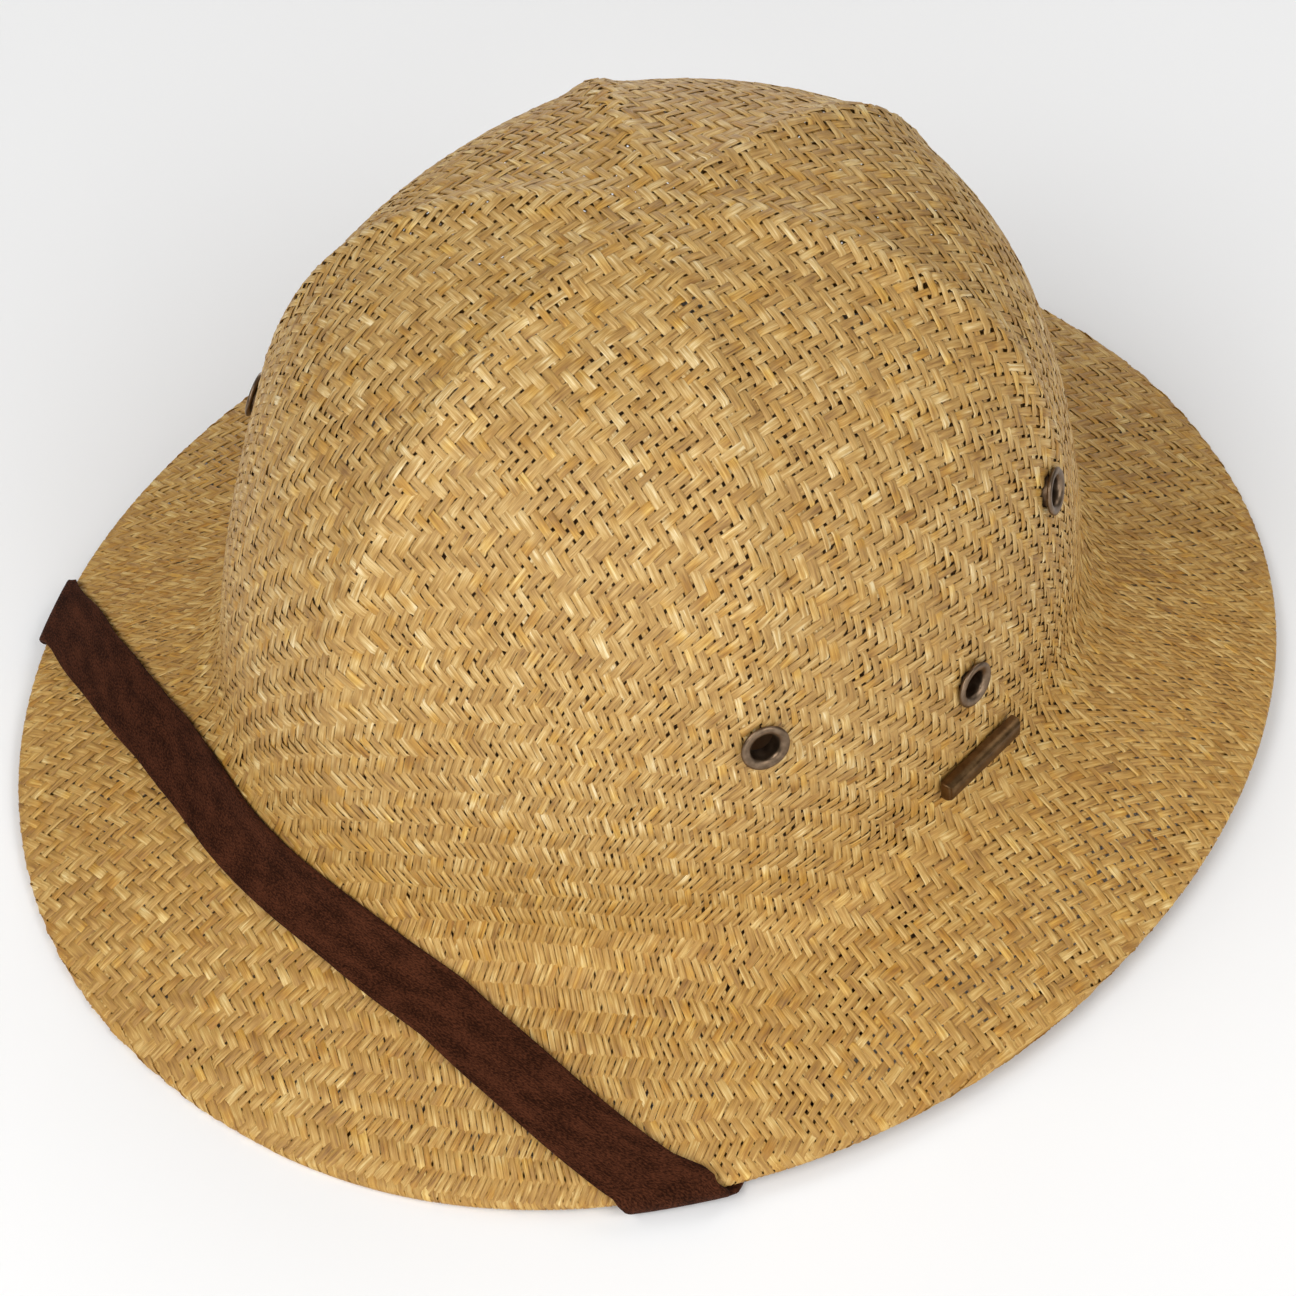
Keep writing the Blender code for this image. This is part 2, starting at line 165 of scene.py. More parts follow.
bpy.ops.mesh.primitive_plane_add(size=FLOOR_SIDE, location=(0.0, 0.0, 0.0))
floor = bpy.context.object
floor.name = "floor"
floor.data.materials.append(floor_material())

for name, turn_degrees, height_degrees, power in LAMPS:
    lamp_turn, lamp_height = math.radians(turn_degrees), math.radians(height_degrees)
    toward_lamp = Vector((
        math.sin(lamp_turn) * math.cos(lamp_height),
        -math.cos(lamp_turn) * math.cos(lamp_height),
        math.sin(lamp_height),
    ))
    lamp_data = bpy.data.lights.new(name, "AREA")
    lamp_data.shape = "SQUARE"
    lamp_data.size = LAMP_SIZE
    lamp_data.energy = power
    lamp = bpy.data.objects.new(name, lamp_data)
    facing = toward_lamp.to_track_quat("Z", "Y").to_matrix().to_4x4()
    lamp.matrix_world = Matrix.Translation(toward_lamp * LAMP_DISTANCE) @ facing
    bpy.context.scene.collection.objects.link(lamp)

world = bpy.data.worlds.new("studio")
world.use_nodes = True
world.node_tree.nodes["Background"].inputs["Color"].default_value = (1.0, 1.0, 1.0, 1.0)
world.node_tree.nodes["Background"].inputs["Strength"].default_value = 0.1
bpy.context.scene.world = world
bpy.context.scene.view_settings.view_transform = "Standard"
print("floor,", len(LAMPS), "lamps and a world")

# %% [markdown]
# ## The form
# The hat was pressed over a block, so its shape is smooth and follows a few rules. These are the
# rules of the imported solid, repeated here: the crown is an oval that narrows toward its rounded
# top, a fillet joins it to the brim, and six soft ridges run down from the apex with slight
# hollows between them. An angle of 0 is the front and turns toward the wearer's left. A place on
# the profile runs 0 to 1 down the crown, 1 to 2 round the fillet and 2 to 3 out along the brim,
# 3 to 4 round the hem's edge and on from 4 back up the inside.

# %% Sizes of the form
CROWN_TOP = 139.5 * MM
CROWN_FOOT = 22.4 * MM
CROWN_HALF_WIDTH = 90.2 * MM
CROWN_HALF_LENGTH = 105.6 * MM
CROWN_FORWARD = 1.6 * MM
CROWN_TAPER = 0.128
SHOULDER_POWER = 3.66
SHOULDER_ROUND = 2.51
PANELS = 6
PANEL_HOLLOW = 0.17
RIDGE_HEIGHT = 0.8 * MM
RIDGE_WIDTH = 5.0 * MM
CREST_HEIGHT = 0.8 * MM
# The fold's strength, place and width set a painted highlight: a pale line along the pressed fold round the foot.
FOLD_HIGHLIGHT = 1.5
FOLD_PLACE = 1.52
FOLD_WIDTH = 0.07
CREST_WIDTH = 3.6 * MM
BRIM_HALF_WIDTH = 131.4 * MM
BRIM_HALF_LENGTH = 154.5 * MM
BRIM_SQUARENESS = 2.085
BRIM_EDGE_HEIGHT = 2.62 * MM
SIDE_LIFT = 3.8 * MM
LEVEL_PART = 0.34
FILLET_RISE = 0.10
FILLET_SPREAD = 0.28
BRIM_DROOP = 0.25
STRAW = 1.6 * MM
HEM = 3.0 * MM
HEM_INNER_EDGE = 2.77


# %% The crown, the fillet and the brim
def smooth(x):
    x = np.clip(x, 0.0, 1.0)
    return x * x * (3.0 - 2.0 * x)


def rise_of(place):
    """How high up the crown a place lies, from 1 at the apex to FILLET_RISE above the foot."""
    return 1.0 - (1.0 - FILLET_RISE) * np.clip(place, 0.0, 1.0) ** 2.5


def crown_share(rise):
    """The crown's radius at this height, as a share of its radius at the foot."""
    rounded = np.clip(1.0 - rise**SHOULDER_POWER, 0.0, 1.0) ** (1.0 / SHOULDER_ROUND)
    return (1.0 - CROWN_TAPER * rise) * rounded


def crown_point(angle, rise):
    share = crown_share(rise)
    x = CROWN_HALF_WIDTH * share * np.sin(angle)
    y = -CROWN_HALF_LENGTH * share * np.cos(angle) - CROWN_FORWARD
    z = CROWN_FOOT + (CROWN_TOP - CROWN_FOOT) * rise + 0.0 * angle
    return np.stack([x, y, z], axis=-1)


def edge_point(angle):
    """The brim's edge: a slightly squared oval, level at front and back and lifted at the sides."""
    s, c = np.sin(angle), np.cos(angle)
    radius = (np.abs(s) ** BRIM_SQUARENESS + np.abs(c) ** BRIM_SQUARENESS) ** (-1.0 / BRIM_SQUARENESS)
    lift = SIDE_LIFT * smooth((np.abs(s) - LEVEL_PART) / (1.0 - LEVEL_PART))
    x = BRIM_HALF_WIDTH * radius * s
    y = -BRIM_HALF_LENGTH * radius * c
    return np.stack([x, y, BRIM_EDGE_HEIGHT + lift], axis=-1)


def brim_point(angle, out):
    foot = crown_point(angle, 0.0 * angle)
    span = edge_point(angle) - foot
    point = foot + span * out[..., None]
    fall = (1.0 - BRIM_DROOP) * out + BRIM_DROOP * out * out
    point[..., 2] = foot[..., 2] + span[..., 2] * fall
    return point


def plain_form(angle, place):
    angle, place = np.broadcast_arrays(np.asarray(angle, float), np.asarray(place, float))
    crown = crown_point(angle, rise_of(place))
    out = FILLET_SPREAD + (1.0 - FILLET_SPREAD) * np.clip(place - 2.0, 0.0, 2.0)
    brim = brim_point(angle, out)
    start = crown_point(angle, 0.0 * angle + FILLET_RISE)
    corner = crown_point(angle, 0.0 * angle)
    end = brim_point(angle, 0.0 * angle + FILLET_SPREAD)
    t = np.clip(place - 1.0, 0.0, 1.0)[..., None]
    fillet = (1.0 - t) ** 2 * start + 2.0 * t * (1.0 - t) * corner + t * t * end
    return np.where((place <= 1.0)[..., None], crown, np.where((place >= 2.0)[..., None], brim, fillet))


def normal_of(form, angle, place, step=1e-3):
    angle, place = np.broadcast_arrays(np.asarray(angle, float), np.asarray(place, float))
    place = np.maximum(place, 2e-3)
    round_the_hat = form(angle + step, place) - form(angle - step, place)
    down_the_hat = form(angle, place + step) - form(angle, place - step)
    normal = np.cross(down_the_hat, round_the_hat)
    return normal / np.linalg.norm(normal, axis=-1, keepdims=True)


# %% The six panels, the wall and its turned hem
def panel_relief(angle, place):
    """Height over the plain form: a soft crest at each ridge and a slight hollow between."""
    rise = rise_of(place)
    radius = 100.0 * MM * crown_share(rise)
    half = np.pi / PANELS
    off_ridge = np.abs((angle + half) % (2.0 * half) - half)
    share = np.clip(np.sqrt((off_ridge / half) ** 2 + 0.05**2), 0.0, 1.0)
    hollow = PANEL_HOLLOW * 0.134 * radius * (1.0 - (1.0 - share) ** 2)
    crest = RIDGE_HEIGHT * np.exp(-((off_ridge * radius / RIDGE_WIDTH) ** 2)) * smooth(radius / (25.0 * MM))
    return np.where(place < 1.0, smooth((rise - 0.12) / 0.45) * (crest - hollow), 0.0)


def outer_form(angle, place):
    angle, place = np.broadcast_arrays(np.asarray(angle, float), np.asarray(place, float))
    relief = panel_relief(angle, place)
    return plain_form(angle, place) + normal_of(plain_form, angle, place) * relief[..., None]


def wall_thickness(place):
    """One layer of straw, and the doubled hem along the brim's edge."""
    return STRAW + (HEM - STRAW) * smooth((place - (HEM_INNER_EDGE - 0.02)) / 0.04)


def skin(angle, place, height=0.0):
    """A point of the hat's surface, or of one that lies this height outside it."""
    angle, place = np.broadcast_arrays(np.asarray(angle, float), np.asarray(place, float))
    outside = np.clip(np.where(place <= 3.5, place, 7.0 - place), 0.0, 3.0)
    point = outer_form(angle, outside)
    normal = normal_of(outer_form, angle, outside)
    tangent = outer_form(angle + 1e-3, outside) - outer_form(angle - 1e-3, outside)
    tangent /= np.maximum(np.linalg.norm(tangent, axis=-1, keepdims=True), 1e-12)
    outward = np.cross(tangent, normal)
    turn = np.pi * np.clip(place - 3.0, 0.0, 1.0)[..., None]
    facing = np.cos(turn) * normal + np.sin(turn) * outward
    upper = point + normal * height
    nose = point - normal * (0.5 * HEM) + facing * (0.5 * HEM + height)
    under = point - normal * (wall_thickness(outside)[..., None] + height)
    return np.where((place <= 3.0)[..., None], upper, np.where((place < 4.0)[..., None], nose, under))


front_foot = skin(0.0, 1.0)
print("front foot of the crown in mm:", [round(float(value) / MM, 1) for value in front_foot])

# %% [markdown]
# ## A chart of the surface
# A woven sheet has to be laid over this form, and each crossing of its strands must be found on
# the surface. Evaluating the rules thousands of times would be slow, so the surface is sampled
# once in tables. The chart has the apex in its middle. Distance from the middle is the length
# walked down the hat, and the direction is the angle round it. Past the brim's edge the chart
# runs on flat, as the straw did before its hem was turned under. Another table then has the
# finished surface, with the hem folded.

# %% Tables of the flat-edged form and of the folded hat
TABLE_ANGLES = 361
TABLE_PLACES = 431
CHART_ROWS = 900
LAST_PLACE = 4.3
LAST_CHART_PLACE = 3.9
WEAVE_DEPTH = 0.45 * MM
NOSE_LENGTH = math.pi * (0.5 * HEM - WEAVE_DEPTH)

table_angles = np.linspace(0.0, 2.0 * np.pi, TABLE_ANGLES)


def unit(a):
    return a / np.linalg.norm(a, axis=-1, keepdims=True)


def crest_share(angle, place):
    """How far the straw is creased over a ridge of the block: 1 on the crease and 0 off it."""
    rise = rise_of(place)
    half = np.pi / PANELS
    off_ridge = np.abs((angle + half) % (2.0 * half) - half) * 100.0 * MM * crown_share(rise)
    crest = np.exp(-((off_ridge / CREST_WIDTH) ** 2)) * smooth(place / 0.12)
    return np.where(place < 1.0, crest * smooth((rise - 0.45) / 0.35), 0.0)


def painted_highlight_share(angle, place):
    """How strongly a highlight is painted: on the ridge creases, and along the pressed fold round the foot, where
    flattened straw catches the light.
    """
    fold = FOLD_HIGHLIGHT * np.exp(-(((place - FOLD_PLACE) / FOLD_WIDTH) ** 2))
    return crest_share(angle, place) + fold


def chart_table():
    """Points of the unfolded form at equal steps of angle and of walked distance."""
    places = np.linspace(0.0, LAST_CHART_PLACE, TABLE_PLACES)
    grid = np.meshgrid(table_angles, places, indexing="ij")
    points = outer_form(*grid) - WEAVE_DEPTH * normal_of(outer_form, *grid)
    points[:, 0] = points[:, 0].mean(axis=0)
    diagonal = points[TABLE_ANGLES // 8]
    walked = np.concatenate([[0.0], np.cumsum(np.linalg.norm(np.diff(diagonal, axis=0), axis=1))])
    rows = np.linspace(0.0, walked[-1], CHART_ROWS)
    at = np.interp(rows, walked, np.arange(TABLE_PLACES))
    low = np.minimum(at.astype(int), TABLE_PLACES - 2)
    part = (at - low)[None, :, None]
    return points[:, low] * (1.0 - part) + points[:, low + 1] * part, rows, np.interp(rows, walked, places)


def hat_table():
    """Points in the middle of the weave and outward normals, at equal steps of angle and place."""
    places = np.linspace(0.0, LAST_PLACE, TABLE_PLACES)
    grid = np.meshgrid(table_angles, places, indexing="ij")
    points = skin(*grid, -WEAVE_DEPTH)
    outward = unit(skin(*grid) - points)
    outward[:, 0] = (0.0, 0.0, 1.0)
    points += outward * CREST_HEIGHT * crest_share(*grid)[..., None]
    points[:, 0] = points[:, 0].mean(axis=0)
    return np.concatenate([points, outward], axis=-1)


def read_table(table, turn, row):
    """Values between the rows of a table, at this angle and at this fractional row."""
    u = (turn % (2.0 * np.pi)) / (2.0 * np.pi) * (TABLE_ANGLES - 1)
    v = np.clip(row, 0.0, table.shape[1] - 1.001)
    i, j = np.minimum(u.astype(int), TABLE_ANGLES - 2), v.astype(int)
    fu, fv = (u - i)[..., None], (v - j)[..., None]
    near = table[i, j] * (1.0 - fu) + table[i + 1, j] * fu
    far = table[i, j + 1] * (1.0 - fu) + table[i + 1, j + 1] * fu
    return near * (1.0 - fv) + far * fv


chart, row_distance, row_place = chart_table()
hat = hat_table()
brim_width = np.linalg.norm(outer_form(table_angles, 3.0) - outer_form(table_angles, 2.0), axis=-1)
FARTHEST = row_distance[-1]


def on_chart(x, y):
    return read_table(chart, np.arctan2(x, -y), np.hypot(x, y) / row_distance[1])


def folded_place(x, y):
    """Angle and place on the finished hat: past the edge the sheet goes round the nose and under."""
    turn = np.arctan2(x, -y)
    place = np.interp(np.hypot(x, y), row_distance, row_place)
    width = np.interp(turn % (2.0 * np.pi), table_angles, brim_width)
    past = np.maximum(place - 3.0, 0.0) * width
    return turn, np.minimum(place, 3.0) + np.minimum(past / NOSE_LENGTH, 1.0) + np.maximum(past - NOSE_LENGTH, 0.0) / width


print("walked down the diagonal in mm:", round(FARTHEST / MM, 1))

# %% [markdown]
# ## Draping the weave
# The straw was woven flat, as a square twill, and only then pressed over the block. Its strands
# hardly stretch, but they turn where they cross. So every mesh of the weave becomes a rhombus:
# square at the apex and near the front, back and side lines, and squeezed into slim diamonds on
# the bias between them, which gives the fine herringbone there. The sheet lay a few degrees
# askew on the block. The net is found on a coarse grid first, where each crossing is one step
# away from two known neighbours.

# %% A coarse net of crossings
PITCH = 2.3 * MM
COARSE = 4
COARSE_PITCH = COARSE * PITCH
REACH = 32
NEWTON_STEPS = 8
PROBE = 0.4 * MM
LONGEST_STEP = 0.4 * COARSE_PITCH
WEAVE_TURN = math.radians(-9.0)
TOWARD_SIDE = np.array([math.cos(WEAVE_TURN), math.sin(WEAVE_TURN)])
TOWARD_FRONT = np.array([math.sin(WEAVE_TURN), -math.cos(WEAVE_TURN)])
QUARTERS = [
    # sign of the strand number toward the wearer's left, and toward the front
    (1, 1),
    (1, -1),
    (-1, -1),
    (-1, 1),
]


def slopes_at(x, y):
    """How the point on the form moves as either chart position grows."""
    by_x = (on_chart(x + PROBE, y) - on_chart(x - PROBE, y)) / (2.0 * PROBE)
    by_y = (on_chart(x, y + PROBE) - on_chart(x, y - PROBE)) / (2.0 * PROBE)
    return by_x, by_y


def straight_line(direction):
    """Chart positions of crossings along a line straight down the hat, one step apart."""
    distance = np.linspace(0.0, FARTHEST, 6000)
    line = on_chart(distance * direction[0], distance * direction[1])
    walked = np.concatenate([[0.0], np.cumsum(np.linalg.norm(np.diff(line, axis=0), axis=1))])
    return direction[:, None] * np.interp(np.arange(REACH) * COARSE_PITCH, walked, distance, right=np.nan)


def meet(a, b, c):
    """The chart position one step from crossings a and b, on the side away from crossing c."""
    known = np.isfinite(a[0]) & np.isfinite(b[0])
    x, y = np.where(known, a + b - c, PROBE)
    from_a = on_chart(*np.where(known, a, 0.0))
    from_b = on_chart(*np.where(known, b, 0.0))
    for _ in range(NEWTON_STEPS):
        by_x, by_y = slopes_at(x, y)
        to_a, to_b = on_chart(x, y) - from_a, on_chart(x, y) - from_b
        miss_a = (to_a * to_a).sum(-1) - COARSE_PITCH**2
        miss_b = (to_b * to_b).sum(-1) - COARSE_PITCH**2
        ax, ay = 2.0 * (to_a * by_x).sum(-1), 2.0 * (to_a * by_y).sum(-1)
        bx, by = 2.0 * (to_b * by_x).sum(-1), 2.0 * (to_b * by_y).sum(-1)
        area = ax * by - ay * bx
        area = np.where(np.abs(area) < 1e-12, 1e-12, area)
        dx = (miss_b * ay - miss_a * by) / area
        dy = (miss_a * bx - miss_b * ax) / area
        limit = np.minimum(1.0, LONGEST_STEP / np.maximum(np.hypot(dx, dy), 1e-12))
        x, y = x + dx * limit, y + dy * limit
    lost = ~known | (np.hypot(x, y) > 0.999 * FARTHEST) | (np.abs(miss_a) > 0.02 * COARSE_PITCH**2)
    return np.where(lost, np.nan, np.stack([x, y]))


def drape():
    """Chart positions of all crossings, by signed strand numbers counted from the apex."""
    whole = np.full((2, 2 * REACH - 1, 2 * REACH - 1), np.nan)
    for side, front in QUARTERS:
        net = np.full((2, REACH, REACH), np.nan)
        net[:, :, 0] = straight_line(side * TOWARD_SIDE)
        net[:, 0, :] = straight_line(front * TOWARD_FRONT)
        for total in range(2, 2 * REACH - 1):
            i = np.arange(max(1, total - REACH + 1), min(total, REACH))
            j = total - i
            net[:, i, j] = meet(net[:, i - 1, j], net[:, i, j - 1], net[:, i - 1, j - 1])
        i = REACH - 1 + side * np.arange(REACH)
        j = REACH - 1 + front * np.arange(REACH)
        whole[:, i[:, None], j[None, :]] = net
    return whole


coarse_net = drape()
print("coarse crossings:", int(np.isfinite(coarse_net[0]).sum()))

# %% [markdown]
# ## Letting the weave settle
# Strands that are squeezed side by side push back, so real straw never closes into needles as
# the ideal net does. Springs along the strands, and much weaker ones across the meshes, spread
# the squeeze a little. The coarse net relaxes under them and is then made finer twice, with a
# smooth rule that puts each new crossing between its four neighbours on the line.

# %% Relaxing and refining the net
ACROSS_STIFFNESS = 0.02
SETTLE_ROUNDS = 300
SETTLE_STEP = 0.48
SETTLE_GLIDE = 0.9
SPRINGS = [
    # steps to the neighbour, natural length, stiffness
    (1, 0, 1.0, 1.0),
    (0, 1, 1.0, 1.0),
    (1, 1, math.sqrt(2.0), ACROSS_STIFFNESS),
    (1, -1, math.sqrt(2.0), ACROSS_STIFFNESS),
]


def neighbours(count, di, dj):
    """Two views of a square grid that pair each crossing with its neighbour."""
    columns = (slice(0, count - dj), slice(dj, count)) if dj >= 0 else (slice(-dj, count), slice(0, count + dj))
    return (slice(0, count - di), columns[0]), (slice(di, count), columns[1])


def pull_of_springs(points, known):
    """The mean pull on each crossing from the springs that reach it."""
    pull = np.zeros_like(points)
    weight = np.zeros(known.shape)
    for di, dj, length, stiffness in SPRINGS:
        here, there = neighbours(len(known), di, dj)
        span = points[there] - points[here]
        size = np.maximum(np.linalg.norm(span, axis=-1), 1e-9)
        strength = stiffness * (known[here] & known[there])
        force = (strength * (size - length * COARSE_PITCH) / size)[..., None] * span
        pull[here] += force
        pull[there] -= force
        weight[here] += strength
        weight[there] += strength
    return pull / np.maximum(weight, 1.0)[..., None]


def settle(net):
    known = np.isfinite(net[0])
    x, y = np.where(known, net, 0.0)
    speed = np.zeros_like(net)
    for _ in range(SETTLE_ROUNDS):
        pull = pull_of_springs(on_chart(x, y), known)
        by_x, by_y = slopes_at(x, y)
        xx, xy, yy = (by_x * by_x).sum(-1), (by_x * by_y).sum(-1), (by_y * by_y).sum(-1)
        pull_x, pull_y = (by_x * pull).sum(-1), (by_y * pull).sum(-1)
        area = np.maximum(xx * yy - xy * xy, 1e-9)
        step = np.stack([yy * pull_x - xy * pull_y, xx * pull_y - xy * pull_x]) / area
        speed = SETTLE_GLIDE * speed + SETTLE_STEP * step
        speed *= np.minimum(1.0, 0.15 * COARSE_PITCH / np.maximum(np.hypot(*speed), 1e-12))
        speed[:, REACH - 1, REACH - 1] = 0.0
        x, y = np.where(known, np.stack([x, y]) + speed, 0.0)
        inside = np.minimum(1.0, 0.999 * FARTHEST / np.maximum(np.hypot(x, y), 1e-9))
        x, y = x * inside, y * inside
    return np.where(known, np.stack([x, y]), np.nan)


def finer(net):
    """The net with a new crossing between every two along both directions."""
    for axis in (1, 2):
        rows = np.moveaxis(net, axis, 0)
        fine = np.full((2 * len(rows) - 1,) + rows.shape[1:], np.nan)
        fine[::2] = rows
        curved = (9.0 * (rows[1:-2] + rows[2:-1]) - rows[:-3] - rows[3:]) / 16.0
        straight = 0.5 * (rows[:-1] + rows[1:])
        fine[1::2] = straight
        fine[3:-3:2] = np.where(np.isfinite(curved), curved, straight[1:-1])
        net = np.moveaxis(fine, 0, axis)
    return net


crossings = finer(finer(settle(coarse_net)))
MIDDLE_STRAND = (crossings.shape[1] - 1) // 2
print("crossings:", int(np.isfinite(crossings[0]).sum()))

# %% [markdown]
# ## Strands
# Each strand is a flat ribbon of split straw that passes over two others and under the next two.
# Every strand is built as one slim closed tube with a flat six-sided section. It lies level over
# and under the crossing strands and dives steeply in the narrow gaps between them. Tens of
# thousands of crossings are far too many to place by hand, so arrays hold the tubes' corners and
# joined meshes are made from them. The width follows the room between neighbours, so strands
# narrow on the bias, where the weave is squeezed.

# %% Where each strand runs
WEFT_SWING = 0.22 * MM
WARP_SWING = 0.12 * MM
HALF_THICKNESS = 0.13 * MM
STRAND_SECTION = [
    # share of the half width, share of the half thickness, way round in half widths
    (-1.00, 0.0, 0.00),
    (-0.76, 1.0, 0.30),
    (0.76, 1.0, 1.82),
    (1.00, 0.0, 2.12),
    (0.76, -1.0, 2.42),
    (-0.76, -1.0, 3.94),
]
SECTION_ROUND = 4.24
FILL_PLACES = (0.0, 1.0, 1.5, 2.0, 3.0)
FILL_IN_FRONT = (0.84, 0.85, 0.91, 0.88, 0.88)
FILL_AT_SIDES = (0.81, 0.80, 0.86, 0.82, 0.82)
WIDTH_CHANGE = 0.10
ROLL = math.radians(6.0)
WANDER = 0.14 * MM
WANDER_STRANDS = 5
DIVE_STARTS = 0.31
RING_CLEARANCE = 3.6 * MM
STEPS_ROUND_THE_HEM = 5
WIDEST = 1.12
PRESSED_FROM = 2.86
EYELETS = [
    # name, angle from the front in degrees, way down the crown
    ("front", 60.2, 0.8255),
    ("middle", 91.5, 0.8985),
    ("back", 115.0, 0.8015),
]
HEM_BEND = (2.97, 4.05)
STRAND_END = 7.0 - HEM_INNER_EDGE
UNIT_OF_PLACE = 45.0 * MM
dice = np.random.default_rng(7)


def stops_along(first, last, phase, place):
    """Strand numbers at which a strand is sampled: where it starts and ends each dive."""
    stops = []
    for k in range(first, last):
        low, high = sorted((place[k], place[k + 1]))
        if low > STRAND_END + 0.1:
            continue
        if high > HEM_BEND[0] and low < HEM_BEND[1]:
            stops.extend(k + np.arange(STEPS_ROUND_THE_HEM) / STEPS_ROUND_THE_HEM)
        elif (k + phase) % 2:
            stops.extend((k + DIVE_STARTS, k + 1.0 - DIVE_STARTS))
    return np.array(stops, float)


def eyelet_axes():
    axes = []
    for sign in (1.0, -1.0):
        for _, degrees, place in EYELETS:
            angle = sign * math.radians(degrees)
            axes.append((skin(angle, place), normal_of(plain_form, angle, place)))
    return axes


ring_axes = eyelet_axes()


def room_left(points, place, along, half):
    """Distance from a strand's edge to an eyelet's barrel or from its end to the hem's inner edge."""
    free = (STRAND_END - place) * UNIT_OF_PLACE
    for middle, axis in ring_axes:
        offset = points - middle
        depth = (offset * axis).sum(-1, keepdims=True)
        offset = offset - depth * axis
        ahead = (offset * along).sum(-1)
        aside = np.sqrt(np.maximum((offset * offset).sum(-1) - ahead * ahead, 0.0))
        nearest = np.hypot(ahead, np.maximum(aside - half, 0.0))
        near = np.abs(depth[:, 0]) < 12.0 * MM
        free = np.where(near, np.minimum(free, nearest - RING_CLEARANCE), free)
    return free


def free_runs(free):
    """Fractional rows of each stretch with room, cut exactly where the room ends."""
    pieces = np.split(np.arange(len(free)), np.flatnonzero(np.diff((free > 0.0).astype(int))) + 1)
    for piece in pieces:
        if free[piece[0]] <= 0.0:
            continue
        first, last = piece[0], piece[-1]
        rows = list(piece.astype(float))
        if first > 0:
            rows.insert(0, first - free[first] / (free[first] - free[first - 1]))
        if last < len(free) - 1:
            rows.append(last + free[last] / (free[last] - free[last + 1]))
        if len(rows) > 1:
            yield np.array(rows)


def at_rows(values, rows):
    """Values between rows, at fractional rows."""
    low = np.clip(rows.astype(int), 0, len(values) - 2)
    part = (rows - low).reshape((-1,) + (1,) * (values.ndim - 1))
    return values[low] * (1.0 - part) + values[low + 1] * part


def room_between(crossing_points):
    """Distance from each strand to its neighbour, square to the strand, for both directions."""
    by_side = np.gradient(crossing_points, axis=0)
    by_front = np.gradient(crossing_points, axis=1)
    area = np.linalg.norm(np.cross(by_side, by_front), axis=-1)
    return area / np.linalg.norm(by_side, axis=-1), area / np.linalg.norm(by_front, axis=-1)


crossing_points = on_chart(*np.nan_to_num(crossings))
crossing_points[~np.isfinite(crossings[0])] = np.nan
weft_room, warp_room = room_between(crossing_points)
print("room between strands in mm:", np.round(np.nanpercentile(weft_room, (5, 50, 95)) / MM, 2))


# %% One strand as rows of corners
def strand_rows(line, room, phase, swing):
    """Corners, distance walked and tint of the strand through one row of crossings."""
    known = np.flatnonzero(np.isfinite(line[0]))
    if len(known) < 4:
        return []
    number = np.arange(len(line[0]), dtype=float)
    place = np.interp(number, known, folded_place(*line[:, known])[1])
    stops = stops_along(known[0], known[-1], phase, place)
    if len(stops) < 2:
        return []
    x = np.interp(stops, known, line[0][known])
    y = np.interp(stops, known, line[1][known])
    roomy = np.flatnonzero(np.isfinite(room))
    width = np.interp(stops, roomy, room[roomy])
    width = np.clip(width, 0.35 * PITCH, WIDEST * PITCH)
    turn, place = folded_place(x, y)
    in_front = np.cos(turn) ** 2
    fill = in_front * np.interp(place, FILL_PLACES, FILL_IN_FRONT)
    fill += (1.0 - in_front) * np.interp(place, FILL_PLACES, FILL_AT_SIDES)
    width *= fill
    found = read_table(hat, turn, place / LAST_PLACE * (TABLE_PLACES - 1))
    middle, normal = found[:, :3], unit(found[:, 3:])
    knots = np.arange(stops[0], stops[-1] + WANDER_STRANDS, WANDER_STRANDS)
    loose = 1.0 - smooth((place - PRESSED_FROM) / 0.1)
    aside = WANDER * loose * np.interp(stops, knots, dice.standard_normal(len(knots)))
    middle = middle + unit(np.cross(normal, np.gradient(middle, axis=0))) * aside[:, None]
    wave = np.cos(0.5 * np.pi * (stops + phase - 0.5)) / math.cos(0.5 * math.pi * (0.5 + DIVE_STARTS))
    height = swing * np.clip(wave, -1.0, 1.0) * (0.5 + 0.5 * loose)
    middle = middle + normal * height[:, None]
    along = unit(np.gradient(middle, axis=0))
    across = unit(np.cross(normal, along))
    lift = np.cross(along, across)
    roll = (ROLL * loose * dice.standard_normal(len(stops)))[:, None]
    change = 1.0 + WIDTH_CHANGE * (dice.standard_normal() + dice.standard_normal(len(stops)))
    half = (0.5 * width * np.clip(change, 0.66, 1.15) * (1.08 - 0.08 * loose))[:, None]
    tilted = across * np.cos(roll) + lift * np.sin(roll)
    raised = lift * np.cos(roll) - across * np.sin(roll)
    corners = np.stack([
        middle + tilted * half * wide + raised * HALF_THICKNESS * thick
        for wide, thick, _ in STRAND_SECTION
    ], axis=1)
    walked = np.concatenate([[0.0], np.cumsum(np.linalg.norm(np.diff(middle, axis=0), axis=1))])
    walked += dice.uniform(0.0, 1.0)
    # Side-to-side strands get tints above 1, and the material paints them paler as a highlight.
    tint = dice.uniform(0.0, 1.0) + (swing < 0.0)
    # Painted highlight: the straw is made paler on the ridge creases and along the fold round the foot, where pressed
    # straw catches the light.
    painted_highlight = painted_highlight_share(turn, place)
    free = room_left(middle, place, along, half[:, 0])
    return [
        (at_rows(corners, rows), at_rows(walked, rows), half.mean(), tint, at_rows(painted_highlight, rows))
        for rows in free_runs(free)
    ]


